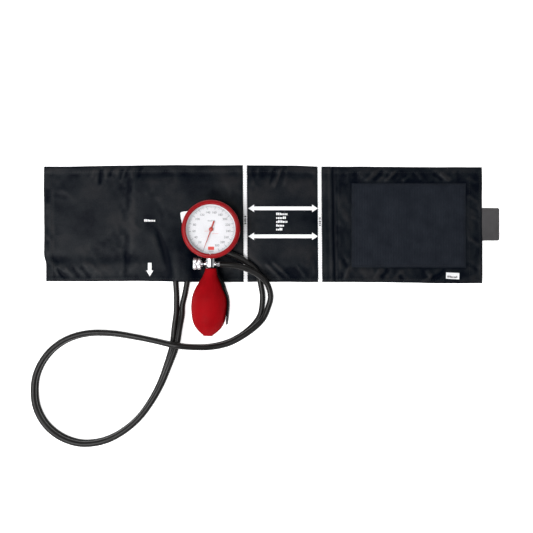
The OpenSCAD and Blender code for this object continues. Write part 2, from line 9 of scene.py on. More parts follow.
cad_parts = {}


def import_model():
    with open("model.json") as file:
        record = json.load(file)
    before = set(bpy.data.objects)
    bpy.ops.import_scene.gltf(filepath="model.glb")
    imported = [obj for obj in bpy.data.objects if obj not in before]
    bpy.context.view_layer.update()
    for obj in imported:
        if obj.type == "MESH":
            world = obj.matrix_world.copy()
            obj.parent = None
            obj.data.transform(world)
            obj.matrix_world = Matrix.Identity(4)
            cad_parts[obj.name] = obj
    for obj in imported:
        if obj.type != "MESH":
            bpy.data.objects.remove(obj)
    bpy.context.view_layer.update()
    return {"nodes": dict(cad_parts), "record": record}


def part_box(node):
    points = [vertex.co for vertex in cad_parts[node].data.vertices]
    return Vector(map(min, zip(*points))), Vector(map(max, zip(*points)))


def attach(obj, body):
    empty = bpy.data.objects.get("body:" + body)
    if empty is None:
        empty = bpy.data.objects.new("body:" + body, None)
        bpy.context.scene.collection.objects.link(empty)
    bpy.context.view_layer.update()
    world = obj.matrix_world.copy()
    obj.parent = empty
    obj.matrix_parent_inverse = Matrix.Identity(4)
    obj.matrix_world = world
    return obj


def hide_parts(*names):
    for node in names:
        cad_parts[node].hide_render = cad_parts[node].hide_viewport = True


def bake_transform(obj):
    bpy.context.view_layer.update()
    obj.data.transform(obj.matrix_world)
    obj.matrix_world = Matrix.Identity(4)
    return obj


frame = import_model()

# Upper arm blood pressure monitor. Lengths are in millimetres unless a name ends in _M, and
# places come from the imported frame. The cuff has its own coordinates: u runs from its bladder
# end to its closure end, v from its lower edge to its upper edge.

MM = 0.001
SCENE = bpy.context.scene
JOINTS = {j["name"]: j for j in frame["record"]["behaviour"]["joints"]}
SLOTS = {s["node"]: s["material_slot"] for s in frame["record"]["subparts"]}


def box_mm(node):
    """A node's lowest and highest corners, in millimetres."""
    return [np.array(corner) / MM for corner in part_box(node)]


def cuff_box(node):
    """A node's extent in the cuff's own coordinates: u0, u1, v0, v1."""
    low, high = box_mm(node)
    return low[0] - CUFF_X, high[0] - CUFF_X, low[1] - CUFF_Y, high[1] - CUFF_Y


PANEL_LOW, PANEL_HIGH = box_mm("inner_panel")
CUFF_X, CUFF_Y = PANEL_LOW[:2]
CUFF_L = box_mm("closure_inner_panel")[1][0] - CUFF_X
CUFF_W = PANEL_HIGH[1] - CUFF_Y
SEAM_AT = JOINTS["closure_fold"]["pos_m"]
SEAM_U = SEAM_AT[0] / MM - CUFF_X

# ---- The hoses' routes, as in the CAD model: x, y, z, and for the twin part how far, in
# degrees, the upper hose leans to the left of the lower one ----

HOSE_D_M = 0.0073
HOSE_PITCH_M = 0.0074
TWIN = [
    (-14.8, -80.6, 3.8, 45), (-23.9, -93.1, 3.8, 24), (-38.4, -105, 3.8, 12), (-55.4, -113.6, 3.8, 10),
    (-76, -118.4, 5.4, 4), (-97, -118.6, 10.9, 0), (-118, -116, 16.5, 0), (-142, -111.5, 10.7, -4),
    (-168, -107, 5.4, -8), (-196, -102.9, 3.8, -10), (-224, -102.4, 3.8, -10), (-248, -108, 3.8, -10),
    (-266.9, -119.1, 3.8, -10), (-280.7, -134.2, 3.8, -10), (-289.8, -153, 3.8, -10),
    (-292.2, -173, 3.8, -12), (-289.4, -193.4, 3.8, -12), (-279.2, -212.8, 3.8, -12),
    (-262.4, -227.6, 3.8, -12), (-242, -236, 3.8, -10), (-221.8, -237, 3.8, -8), (-201, -231.8, 3.8, -8),
    (-181.2, -220.6, 3.8, -8), (-163.9, -205, 3.8, -10), (-149.6, -184.9, 3.8, -15),
    (-138.4, -163.3, 3.8, -22), (-130, -140, 3.8, -32), (-123, -116, 3.8, -50), (-120.6, -94, 3.8, -70),
    (-118.5, -79, 3.8, -85)
]
PUMP_LEAD = [
    (-50, -17.5, 21.3), (-37, -20, 19.6), (-25, -25, 17.2), (-14, -31.5, 14.8), (-6.5, -39.5, 12.6),
    (-2.5, -49, 10.7), (-1.5, -59, 9.3), (-4.5, -70, 8.8)
]
PUMP_TAIL = [(-110.5, -67, 3.9), (-107.5, -54, 4.3)]
GAUGE_LEAD = [
    (-48, -5, 10.8), (-39.5, -9, 9.6), (-30, -15, 8.3), (-21, -22.5, 7.6), (-16, -31, 7.5),
    (-13.5, -42, 6.8), (-11.5, -55, 4.8), (-12, -68, 3.9)
]
GAUGE_TAIL = [(-118, -67, 3.9), (-118, -54, 4.3)]


def metres(points):
    return [np.array(p) * MM for p in points]


# ---- Handset frame: its Y is the bulb's axis ----

DIAL_AXIS = JOINTS["pointer_turn"]["pos_m"]
HAND_UP = JOINTS["intake_lift"]["axis"]
HAND_TURN = math.atan2(-HAND_UP[0], HAND_UP[1])
HAND = Matrix.Translation((DIAL_AXIS[0], DIAL_AXIS[1], 0)) @ Matrix.Rotation(HAND_TURN, 4, "Z")
AXIS_Z = JOINTS["spoon_swivel"]["pos_m"][2] / MM
NECK_Y = -42


def in_hand(x=0, y=0, z=0):
    return HAND @ Matrix.Translation((x * MM, y * MM, z * MM))


def along_axis(y):
    """Local Z runs along the handset from the dial to the bulb."""
    return in_hand(0, y, AXIS_Z) @ Matrix.Rotation(math.pi / 2, 4, "X")


def across_axis(y=NECK_Y, z=AXIS_Z):
    """Local Z runs along the handset's +X."""
    return in_hand(0, y, z) @ Matrix.Rotation(math.pi / 2, 4, "Y")


UPRIGHT = in_hand() @ Matrix.Rotation(-HAND_TURN, 4, "Z")


# ---- Mesh helpers ----

def add(name, data):
    obj = bpy.data.objects.new(name, data)
    SCENE.collection.objects.link(obj)
    return obj


def link(name, mesh, smooth=True):
    mesh.polygons.foreach_set("use_smooth", [smooth] * len(mesh.polygons))
    return add(name, mesh)


def mesh_object(name, points, faces, place=Matrix.Identity(4), smooth=True, weave=None):
    """A mesh moved by the matrix place; weave holds its points' cloth coordinates."""
    mesh = bpy.data.meshes.new(name)
    mesh.from_pydata((np.asarray(points) * MM).tolist(), [], faces)
    mesh.transform(place)
    mesh.update()
    if weave is not None:
        attribute = mesh.attributes.new("weave", "FLOAT_VECTOR", "POINT")
        attribute.data.foreach_set("vector", np.asarray(weave, np.float32).ravel())
    return link(name, mesh, smooth)


def quads(index, flip=False):
    """Faces between neighbours in a table of point numbers."""
    a, b, c, d = index[:-1, :-1], index[1:, :-1], index[1:, 1:], index[:-1, 1:]
    faces = np.stack([d, c, b, a] if flip else [a, b, c, d], -1)
    return faces.reshape(-1, 4).tolist()


def shell(index):
    """Faces round a thin plate; index gives its point numbers by row, column and layer."""
    return (quads(index[:, :, 0], True) + quads(index[:, :, 1]) + quads(index[:, 0])
            + quads(index[:, -1], True) + quads(index[0], True) + quads(index[-1]))


def sharpen(obj, degrees):
    """Keeps edges sharper than the given angle as edges, and smooths the rest."""
    bm = bmesh.new()
    bm.from_mesh(obj.data)
    for edge in bm.edges:
        edge.smooth = not (edge.is_boundary or edge.calc_face_angle(0) > math.radians(degrees))
    bm.to_mesh(obj.data)
    bm.free()
    return obj


def join(name, objects):
    bpy.ops.object.select_all(action="DESELECT")
    for obj in objects:
        obj.select_set(True)
    bpy.context.view_layer.objects.active = objects[0]
    bpy.ops.object.join()
    objects[0].name = objects[0].data.name = name
    return objects[0]


def rounded(profile, radius, steps):
    """Rounds the corners of a closed outline of (r, z) points."""
    out = []
    for i, corner in enumerate(profile):
        here = Vector(corner)
        a, b = (here + (Vector(p) - here).normalized() * min(radius, (Vector(p) - here).length * 0.4)
                for p in (profile[i - 1], profile[(i + 1) % len(profile)]))
        for k in range(steps + 1):
            t = k / steps
            out.append(tuple((1 - t) ** 2 * a + 2 * t * (1 - t) * here + t * t * b))
    return out


def smooth_line(points, per_span):
    """A Catmull-Rom line through points of any dimension."""
    pts = [np.array(p, float) for p in points]
    pts = [2 * pts[0] - pts[1]] + pts + [2 * pts[-1] - pts[-2]]
    out = []
    for a, b, c, d in zip(pts, pts[1:], pts[2:], pts[3:]):
        for t in np.arange(per_span) / per_span:
            out.append(0.5 * (2 * b + (c - a) * t + (2 * a - 5 * b + 4 * c - d) * t * t
                              + (3 * b - a - 3 * c + d) * t ** 3))
    return out + [pts[-2]]


def revolve(name, profile, place, segments=96, closed=True, wave=None, sharp=32):
    """Turns an outline of (r, z) points about the local Z axis of place."""
    points = []
    for k in range(segments):
        a = 2 * math.pi * k / segments
        for r, z in profile:
            grown = r + (wave(a, r, z) if wave else 0)
            points.append((grown * math.cos(a), grown * math.sin(a), z))
    index = np.arange(len(points)).reshape(segments, -1)
    index = np.pad(index, ((0, 1), (0, int(closed))), mode="wrap")
    obj = mesh_object(name, points, quads(index), place)
    bm = bmesh.new()
    bm.from_mesh(obj.data)
    bmesh.ops.remove_doubles(bm, verts=bm.verts, dist=1e-7)
    bmesh.ops.dissolve_degenerate(bm, edges=bm.edges, dist=1e-8)
    bmesh.ops.recalc_face_normals(bm, faces=bm.faces)
    bm.to_mesh(obj.data)
    bm.free()
    return sharpen(obj, sharp)


def prism(name, outline, z0, z1, place, bevel=0):
    """A straight prism over an outline of (x, y) points, with a small bevel all round."""
    bm = bmesh.new()
    face = bm.faces.new([bm.verts.new((x * MM, y * MM, z0 * MM)) for x, y in outline])
    grown = bmesh.ops.extrude_face_region(bm, geom=[face])["geom"]
    up = [g for g in grown if isinstance(g, bmesh.types.BMVert)]
    bmesh.ops.translate(bm, vec=(0, 0, (z1 - z0) * MM), verts=up)
    bmesh.ops.recalc_face_normals(bm, faces=bm.faces)
    if bevel:
        edges = [e for e in bm.edges if e.calc_face_angle(0) > 0.6]
        bmesh.ops.bevel(bm, geom=edges, offset=bevel * MM, segments=2, affect="EDGES")
    mesh = bpy.data.meshes.new(name)
    bm.to_mesh(mesh)
    bm.free()
    mesh.transform(place)
    return sharpen(link(name, mesh), 40)


def ease(a, b, x):
    """Rises smoothly from 0 at a to 1 at b."""
    t = np.clip((x - a) / (b - a), 0, 1)
    return t * t * (3 - 2 * t)


def bell(x, width):
    return np.exp(-(x / width) ** 2)


def bow(d, reach):
    """A quarter round: 0 at an edge, 1 from the distance reach on."""
    return np.sqrt(np.clip(1 - (1 - np.clip(d / reach, 0, 1)) ** 2, 0, 1))


def polar(r, degrees):
    return r * math.cos(math.radians(degrees)), r * math.sin(math.radians(degrees))


def turned(points, u, v, degrees):
    """Points turned about (u, v)."""
    c, s = polar(1, degrees)
    return [(u + (a - u) * c - (b - v) * s, v + (a - u) * s + (b - v) * c) for a, b in points]


# ---- Materials ----

class Nodes:
    """A short way to build a node tree: a value that is a socket is linked, another is set."""

    def __init__(self, name, kind="materials"):
        self.owner = getattr(bpy.data, kind).new(name)
        self.owner.use_nodes = True
        self.tree = self.owner.node_tree

    def feed(self, node, *firsts, **values):
        """Gives a node its first inputs in turn, and others, or its properties, by name."""
        for key, value in [*enumerate(firsts), *values.items()]:
            name = key if isinstance(key, int) else key.replace("_", " ")
            if isinstance(value, bpy.types.NodeSocket):
                self.tree.links.new(value, node.inputs[name])
            elif isinstance(name, int) or name in node.inputs:
                node.inputs[name].default_value = value
            else:
                setattr(node, key, value)
        return node

    def new(self, kind, *firsts, **values):
        return self.feed(self.tree.nodes.new("ShaderNode" + kind), *firsts, **values)

    def finish(self, **values):
        self.feed(self.tree.nodes["Principled BSDF"], **values)
        return self.owner

    def attribute(self, name, output):
        return self.new("Attribute", attribute_name=name).outputs[output]

    def noise(self, where, scale, detail):
        return self.new("TexNoise", Vector=where, Scale=scale, Detail=detail,
                        Roughness=0.55).outputs["Fac"]

    def threads(self, where, pitch):
        """Crossing threads of a plain weave."""
        warp, weft = (self.new("TexWave", Vector=where, Scale=math.pi / 10 / pitch,
                               bands_direction=way).outputs["Fac"] for way in "XY")
        return self.math("MULTIPLY", warp, weft)

    def math(self, kind, a, b):
        return self.new("Math", a, b, operation=kind).outputs[0]

    def total(self, a, share_a, b, share_b):
        return self.math("ADD", self.math("MULTIPLY", a, share_a), self.math("MULTIPLY", b, share_b))

    def ramp(self, value, *stops):
        node = self.new("ValToRGB", Fac=value)
        elements = node.color_ramp.elements
        while len(elements) < len(stops):
            elements.new(0.5)
        for element, (at, colour) in zip(elements, stops):
            element.position = at
            element.color = (*colour, 1)
        return node.outputs["Color"]

    def grey(self, value, low, high, at=(0.35, 0.65)):
        return self.ramp(value, (at[0], (low,) * 3), (at[1], (high,) * 3))

    def bump(self, height, distance):
        """Relief of a depth in millimetres."""
        return self.new("Bump", Height=height, Distance=distance * MM, Strength=1).outputs["Normal"]


def tinted(colour, factor):
    return tuple(min(1, c * factor) for c in colour)


def fabric(name, colour, pitch, weave_depth, roughness, sheen=0, lift=1.25, level=0.35):
    """Plain woven cloth in the cuff's own coordinates: crossing threads and uneven dye."""
    n = Nodes(name)
    where = n.attribute("weave", "Vector")
    stains = n.noise(where, 0.028, 4)
    fine = n.noise(where, 0.9, 2)
    dye = n.ramp(n.total(stains, 0.75, fine, 0.25), (0.36, tinted(colour, 0.8)),
                 (0.64, tinted(colour, lift)))
    return n.finish(Base_Color=dye, Roughness=n.grey(stains, *roughness), Sheen_Weight=sheen,
                    Normal=n.bump(n.total(n.threads(where, pitch), 1, fine, 0.6), weave_depth),
                    Sheen_Roughness=0.4, Specular_IOR_Level=level)


def worn(name, colour, roughness, marks, tones, spread, grain, depth, **values):
    """A surface with handling marks in its colour and gloss, and a fine grain."""
    n = Nodes(name)
    where = n.new("TexCoord").outputs["Object"]
    patches = n.noise(where, *marks)
    return n.finish(Base_Color=n.ramp(patches, *zip((0.3, 0.7), [tinted(colour, t) for t in tones])),
                    Roughness=n.grey(patches, *tinted(spread, roughness)),
                    Normal=n.bump(n.noise(where, *grain), depth), **values)


def plastic(name, colour, roughness, coat=0, grain=0.02, lift=1.12, level=0.5):
    return worn(name, colour, roughness, (60, 5), (0.9, lift), (0.85, 1.2), (2500, 2), grain,
                Coat_Weight=coat, Coat_Roughness=0.12, Specular_IOR_Level=level)


def metal(name, colour, roughness, brushed=0):
    return worn(name, colour, roughness, (180, 5), (0.9, 1.06), (0.7, 1.4), (900, 3),
                0.001 + brushed, Metallic=1)


def ink(name, colour, roughness=0.5, painted_glow=0):
    """Printed ink or enamel; its emission, when set, is painted light."""
    return worn(name, colour, roughness, (700, 4), (0.93, 1.03), (0.9, 1.1), (700, 4), 0.01,
                Emission_Color=(*colour, 1), Emission_Strength=painted_glow)


def glass(name):
    """Thin clear glass: it lets light straight through, and its outer face reflects at an angle."""
    n = Nodes(name)
    outer = n.math("SUBTRACT", 1, n.new("NewGeometry").outputs["Backfacing"])
    mirror = n.math("MULTIPLY", n.new("Fresnel", IOR=1.32).outputs[0], outer)
    clear, gloss = n.new("BsdfTransparent"), n.new("BsdfGlossy", Roughness=0.03)
    mix = n.new("MixShader", mirror, clear.outputs[0], gloss.outputs[0])
    n.feed(n.tree.nodes["Material Output"], Surface=mix.outputs[0])
    return n.owner


def nylon(name):
    """Dark coated nylon: a fine weave and uneven broad tone, with painted shade, bluish, darker and
    duller, where it lies deep, and a painted highlight, brownish and glossier, where it is raised."""
    n = Nodes(name)
    where = n.attribute("weave", "Vector")
    broad = n.noise(where, 0.021, 3)
    fine = n.noise(where, 0.6, 3)
    # Painted shade and highlight: the depth attribute darkens, blues and dulls the cloth where it lies
    # deep, and lightens, browns and glosses it where it is raised.
    tone_and_shade = n.total(n.total(broad, 0.8, fine, 0.2), 1, n.attribute("depth", "Fac"), 0.3)
    dye = n.ramp(tone_and_shade, (0.34, (0.0004, 0.0014, 0.004)), (0.5, (0.0014, 0.0032, 0.0058)),
                 (0.66, (0.0054, 0.0058, 0.0078)))
    return n.finish(Base_Color=dye, Roughness=n.grey(broad, 0.36, 0.5),
                    Normal=n.bump(n.total(n.threads(where, 0.55), 1, fine, 0.8), 0.035),
                    Specular_IOR_Level=n.grey(tone_and_shade, 0.035, 0.15, (0.34, 0.66)))


def hook_tape(name):
    """Woven hook tape: rows of small hooks standing on dark ribs."""
    n = Nodes(name)
    where = n.attribute("weave", "Vector")
    hooks = n.new("TexVoronoi", Vector=where, Scale=1.15, Randomness=0.35).outputs["Distance"]
    patchy = n.noise(where, 0.05, 3)
    dye = n.ramp(n.total(hooks, 0.5, patchy, 0.5), (0.25, (0.0085, 0.0115, 0.018)),
                 (0.75, (0.0035, 0.0048, 0.008)))
    return n.finish(Base_Color=dye, Roughness=n.grey(patchy, 0.55, 0.75),
                    Normal=n.bump(hooks, 0.12), Specular_IOR_Level=0.1)


LOOKS = {name: make(name, *values) for make, name, *values in (
    (nylon, "nylon_dark"),
    (fabric, "loop_fabric", (0.01, 0.0115, 0.015), 0.35, 0.15, (0.85, 0.95), 0.35),
    (hook_tape, "hook_tape"),
    (fabric, "tape_white", (0.87, 0.87, 0.88), 0.7, 0.03, (0.6, 0.7), 0, 1.06),
    (fabric, "label_white", (0.84, 0.84, 0.85), 0.4, 0.02, (0.45, 0.55), 0, 1.04),
    (fabric, "tab_grey", (0.056, 0.053, 0.055), 0.6, 0.03, (0.5, 0.6), 0, 1.15, 0.2),
    (fabric, "thread_dark", (0.009, 0.01, 0.013), 0.2, 0.03, (0.6, 0.75), 0, 1.2, 0.15),
    (ink, "print_white", (0.86, 0.86, 0.87)),
    (ink, "print_black", (0.02, 0.02, 0.022)),
    (ink, "print_grey", (0.1, 0.105, 0.12)),
    (ink, "print_light_grey", (0.14, 0.155, 0.18)),
    (ink, "print_red", (0.62, 0.045, 0.03)),
    # The dial's white glows faintly: painted light that lifts the bezel's shade on the dial face and its
    # raised ring.
    (ink, "dial_white", (0.545, 0.548, 0.566), 0.45, 0.26),
    (plastic, "pointer_red", (0.38, 0.026, 0.016), 0.4, 0.05, 0.004),
    (plastic, "bezel_red", (0.222, 0.0026, 0.005), 0.34, 0, 0.01, 1.1, 0.15),
    (plastic, "bulb_red", (0.235, 0.0018, 0.0042), 0.55, 0, 0.012, 1.1, 0.03),
    (plastic, "case_black", (0.012, 0.012, 0.013), 0.45, 0, 0.03),
    (plastic, "spoon_black", (0.0018, 0.0018, 0.0022), 0.42, 0, 0.015, 1.1, 0.08),
    (plastic, "hose_black", (0.0045, 0.0042, 0.004), 0.36, 0, 0.012, 1.3, 0.22),
    (plastic, "bladder_rubber", (0.012, 0.012, 0.012), 0.6),
    (metal, "chrome", (0.74, 0.74, 0.75), 0.12),
    (metal, "chrome_satin", (0.66, 0.66, 0.68), 0.24),
    (metal, "steel", (0.5, 0.5, 0.52), 0.3, 0.01),
    (metal, "brass", (0.66, 0.47, 0.2), 0.28, 0.01),
    (glass, "lens_clear"),
)}


def dress(obj, look, body="root", *nodes, slot=None):
    """Gives a piece its material, lets it ride on its body and replace CAD nodes; slot is not used."""
    obj.data.materials.clear()
    obj.data.materials.append(LOOKS[look])
    if body:
        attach(obj, body)
    if nodes:
        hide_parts(*nodes)
    return obj


for node_name, node_object in frame["nodes"].items():
    node_object.data.materials.clear()
    node_object.data.materials.append(LOOKS[SLOTS[node_name]])


# ---- Camera ----

VIEW_HEIGHT_M = 1.3
VIEW_CENTRE_M = (-0.0065, -0.0195)
camera = add("camera", bpy.data.cameras.new("camera"))
camera.data.sensor_width = 36
camera.data.lens = 70.64
camera.location = (*VIEW_CENTRE_M, VIEW_HEIGHT_M)
SCENE.camera = camera


# ---- Hoses ----

def twin_lines():
    """The lower and the upper hose of the twin part."""
    low = metres(q[:3] for q in TWIN)
    high = []
    for i, (x, y, z, roll) in enumerate(TWIN):
        way = low[min(i + 1, len(low) - 1)] - low[max(i - 1, 0)]
        left = np.array([-way[1], way[0], 0]) / math.hypot(way[0], way[1])
        up, aside = polar(HOSE_PITCH_M, roll)
        high.append(low[i] + up * np.array([0, 0, 1]) + aside * left)
    return low, high


def hose(name, start, lead, twin, tail, port, node):
    """A hose from the handset to its port; gives its middle line."""
    low, high = port
    mouth = ((low[0] + high[0]) / 2 * MM, low[1] * MM, (low[2] + high[2]) / 2 * MM)
    line = smooth_line([tuple(start), *metres(lead), *twin, *metres(tail), mouth], 6)
    curve = bpy.data.curves.new(name, "CURVE")
    curve.dimensions = "3D"
    curve.bevel_depth = HOSE_D_M / 2
    curve.bevel_resolution = 5
    curve.use_fill_caps = True
    spline = curve.splines.new("POLY")
    spline.points.add(len(line) - 1)
    for point, place in zip(spline.points, line):
        point.co = (*place, 1)
    spline.use_smooth = True
    obj = dress(add(name, curve), "hose_black", "root", node)
    return line


LOW_LINE, HIGH_LINE = twin_lines()
PORT_PUMP = box_mm("port_pump")
PORT_GAUGE = box_mm("port_gauge")
hose("pump_hose", along_axis(NECK_Y) @ Vector((12 * MM, 0, 0)), PUMP_LEAD, HIGH_LINE, PUMP_TAIL,
     PORT_PUMP, "hose_pump")
GAUGE_LINE = hose("gauge_hose", in_hand(20, -27.2, 11).translation, GAUGE_LEAD, LOW_LINE,
                  GAUGE_TAIL, PORT_GAUGE, "hose_gauge")


# ---- Handset: gauge ----

def gauge():
    case_r, wall, rim = 34, 1.8, 31.6
    outer = smooth_line([(25, 4), (28.2, 6.2), (31, 11), (33.2, 17), (case_r, 22)], 5)
    inner = smooth_line([(case_r - wall, 22), (31.3, 17), (29, 11.6), (26.6, 7.6), (24.6, 6.6)], 5)
    profile = [(20, 4), *outer, (case_r, 25.4), (case_r - 0.5, 25.8), (case_r - 0.5, 26.8),
               (case_r, 27.2), (case_r, rim), (case_r - wall, rim), *inner, (0, 6.6), (0, 5.2),
               (20, 5.2)]
    dress(revolve("gauge_case", profile, in_hand()), "case_black", "root", "case_cup")

    bezel_r, window_r, ribs = 35.5, 30, 120

    def grip(a, r, z):
        """Fine vertical grip ribs on the bezel's lower flank."""
        return 0.16 * math.cos(ribs * a) if r > 35 and 28.4 < z < 32.4 else 0

    profile = [(34, 27.8), (bezel_r - 0.5, 27.8), *((bezel_r, z) for z in (28.3, 28.8, 30, 32, 32.6, 33.2)),
               (bezel_r - 0.25, 34.6), (bezel_r - 0.9, 35.7), (bezel_r - 1.9, 36.5),
               (bezel_r - 3.1, 36.95), (bezel_r - 4.2, 37), (window_r + 0.9, 36.85),
               (window_r + 0.25, 36.3), (window_r, 35.5), (window_r, 34.4), (34, 34.4)]
    bezel = revolve("gauge_bezel", profile, in_hand(), 480, wave=grip, sharp=50)
    dress(bezel, "bezel_red", "root", "bezel_ring")
    lens = revolve("gauge_lens", [(0, 32.6), (33.7, 32.6), (33.7, 34.3), (0, 34.4)], in_hand())
    dress(lens, "lens_clear", "root", "lens")


DIAL_R = 31
DIAL_Z = 25.2
INK_Z = DIAL_Z + 0.6
ZERO_ANGLE = -110
BOX_FACES = ((3, 2, 1, 0), (4, 5, 6, 7), (0, 1, 5, 4), (1, 2, 6, 5), (2, 3, 7, 6), (3, 0, 4, 7))


def angle_of(pressure):
    """0 lies 20 degrees clockwise from straight down, and 300 lies 320 degrees further."""
    return ZERO_ANGLE - pressure * 320 / 300


def bars(name, look, pieces):
    """Thin printed rectangles on the dial: (centre x, centre y, length, width, degrees)."""
    points, faces = [], []
    for x, y, long, wide, turn in pieces:
        start = len(points)
        corners = [(x + a * long / 2, y + b * wide / 2) for a, b in ((-1, -1), (1, -1), (1, 1), (-1, 1))]
        points += [(*p, z) for z in (INK_Z - 0.02, INK_Z + 0.08) for p in turned(corners, x, y, turn)]
        faces += [tuple(start + k for k in f) for f in BOX_FACES]
    obj = mesh_object(name, points, faces, UPRIGHT, smooth=False)
    return dress(obj, look, slot="dial_white")


def lettering(name, words, size, x, y, middle="CENTER"):
    font = bpy.data.curves.new(name, "FONT")
    font.body = words
    font.size = size * MM
    font.align_x = "CENTER"
    font.align_y = middle
    font.extrude = 0.05 * MM
    obj = add(name, font)
    obj.matrix_world = UPRIGHT @ Matrix.Translation((x * MM, y * MM, (INK_Z + 0.04) * MM))
    return obj


def dial_numbers():
    texts = [lettering(f"number_{p}", str(p), 3.9, *polar(20.9, angle_of(p))) for p in range(20, 301, 20)]
    texts.append(lettering("unit", "mmHg", 3.2, 0, 9.6, "TOP_BASELINE"))
    bpy.context.view_layer.update()
    graph = bpy.context.evaluated_depsgraph_get()
    meshes = []
    for obj in texts:
        mesh = bpy.data.meshes.new_from_object(obj.evaluated_get(graph))
        mesh.transform(obj.matrix_world)
        meshes.append(link(obj.name + "_mesh", mesh, smooth=False))
        bpy.data.objects.remove(obj)
    dress(join("dial_numbers", meshes), "print_grey", slot="dial_white")


def dial():
    """White dial with a raised chapter ring, ticks, numbers and plain printed bars."""
    profile = [(1.5, DIAL_Z), (DIAL_R, DIAL_Z), (DIAL_R, INK_Z), (1.5, INK_Z)]
    plate = revolve("dial_face", rounded(profile, 0.1, 2), in_hand())
    # The dial's white material glows faintly as painted light, on the face and on the raised ring below.
    dress(plate, "dial_white", "root", "dial_plate")
    profile = [(29.6, 25.8), (31.9, 25.8), (31.9, 31.4), (31.4, 31.4), (30.2, 27)]
    dress(revolve("dial_flange", rounded(profile, 0.15, 2), in_hand()), "dial_white")

    outer_r, ticks = 28.3, []
    for mark in range(151):
        a = angle_of(mark * 2)
        inner_r, wide = (24.6, 0.42) if mark % 10 == 0 else (25.9, 0.3) if mark % 5 == 0 else (26.8, 0.2)
        ticks.append((*polar((inner_r + outer_r) / 2, a), outer_r - inner_r, wide, a))
    bars("dial_ticks", "print_light_grey", ticks)
    arc = [angle_of(p) for p in np.linspace(0, 300, 220)]
    bars("dial_arc", "print_light_grey", [(*polar(28.5, a), 0.75, 0.18, a + 90) for a in arc])
    dial_numbers()

    outline = [(x + 3.7 * sx, y - 23 + 2.05 * sy) for sx, sy, x, y in
               ((-1, -1, 0.5, 0), (1, -1, -0.5, 0), (1, -1, 0, 0.5), (1, 1, 0, -0.5),
                (1, 1, -0.5, 0), (-1, 1, 0.5, 0), (-1, 1, 0, -0.5), (-1, -1, 0, 0.5))]
    block = prism("dial_red_block", outline, INK_Z - 0.02, INK_Z + 0.1, UPRIGHT)
    dress(block, "print_red", slot="dial_white")
    bars("dial_red_lines", "print_red", [(-5.5, -2.1, 4.6, 0.3, 0), (5.2, -5.2, 7.4, 0.3, -1)])
    bars("dial_small_print", "print_light_grey", [(-1.6, -26.2, 2.6, 0.35, 0), (1.9, -26.2, 3, 0.35, 0),
                                                  (0.2, -27, 5.4, 0.3, 0)])


def pointer():
    """Tapered needle with a broad tail and a domed hub, turned to the zero mark."""
    place = UPRIGHT @ Matrix.Rotation(math.radians(ZERO_ANGLE), 4, "Z")
    half = [(-10.7, -0.75), (-10.3, -1.05), (-1.5, -0.85), (24.2, -0.22)]
    outline = half + [(24.6, 0)] + [(x, -y) for x, y in reversed(half)]
    blade = prism("pointer_blade", outline, 28, 28.5, place, 0.08)
    hub = revolve("pointer_hub", [(0, 28.1), (2.65, 28.1), (2.65, 28.9), (2.3, 29.25),
                                  (1.2, 29.45), (0, 29.5)], in_hand(), 48)
    dress(join("pointer_needle", [blade, hub]), "pointer_red", "pointer", "pointer")


gauge()
dial()
pointer()


# ---- Handset: neck, valve, bulb and spoon ----

def neck():
    profile = [(2, -1.2), (5.6, -1.2), (6, -0.8), (6, 4.6), (5.75, 4.9), (5.75, 5.3),
               (6, 5.6), (6, 16.4), (5.8, 16.9), (4.6, 17.1), (4.6, 21.3), (4.2, 21.5),
               (3, 21.5), (3, 16), (1.6, 15)]
    body = revolve("neck", profile, along_axis(-30.5))
    profile = [(3, -5.2), (3.9, -5.2), (3.9, -6.7), (3.6, -7), (3, -7)]
    left = revolve("neck_boss_left", profile, across_axis(), 48)
    profile = [(1.4, 5.2), (3.7, 5.2), (3.7, 6.3), (3.4, 6.7), (1.4, 6.7)]
    right = revolve("neck_boss_right", profile, across_axis(), 48)
    dress(join("neck_body", [body, left, right]), "chrome", "root", "neck_block")
    ridges = [(1.4, 6.7), (2.6, 6.7)]
    for k in range(3):
        z = 7.4 + k * 1.5
        ridges += [(2.55, z), (3.1, z + 0.1), (2.6, z + 1.1)]
    ridges += [(2.55, 11.9), (1.4, 11.9)]
    barb = revolve("pump_barb", ridges, across_axis(), 48)
    dress(barb, "steel", "root", "pump_nipple", slot="chrome")
    profile = [(1.4, 10.5), (4, 10.5), (4, 16.4), (3.7, 16.9), (3.1, 17), (3.1, 18.2),
               (2.7, 18.6), (3.1, 19), (3.1, 19.8), (2.9, 20), (1.4, 20)]
    connector = revolve("hose_connector", profile, across_axis(-27.2, 11), 48)
    dress(connector, "chrome", "root", "gauge_connector")


def valve():
    grooves = 36

    def knurl(a, r, z):
        edge = min(abs(z + end) for end in (20.8, 16.45, 15.35, 11))
        return 0.14 * min(1, edge / 0.5) * (math.cos(grooves * a) - 1) if r >= 6.9 else 0

    profile = [(0, -20.8), (4.2, -20.8), (4.5, -20.4), (5.2, -20.4), (5.5, -20.8), (6.8, -20.8),
               (7.5, -20.2), (7.5, -19.6), (7.5, -17.4), (7.5, -17), (7, -16.45),
               (6.4, -16.3), (6.4, -15.5), (7, -15.35), (7.5, -14.8), (7.5, -14.4),
               (7.5, -12.2), (7.5, -11.6), (6.8, -11), (4, -11), (3.6, -10.6), (3.6, -9.6),
               (3.2, -9.2), (2.05, -9.2), (2.05, -20), (0, -20)]
    wheel = revolve("valve_thumbwheel", profile, across_axis(), 384, wave=knurl, sharp=40)
    dress(wheel, "chrome_satin", "valve_wheel", "valve_wheel", slot="chrome")
    thread = [(0, -19.7), (1.6, -19.7), (2, -19.2), (2, -9)]
    for k in range(14):
        z = -8.9 + k * 0.4
        thread += [(2, z), (1.78, z + 0.2)]
    thread += [(2, -3.3), (0.5, -1.6), (0, -1.6)]
    stem = revolve("valve_stem", thread, across_axis(), 48)
    dress(stem, "steel", "valve_needle", "valve_needle")


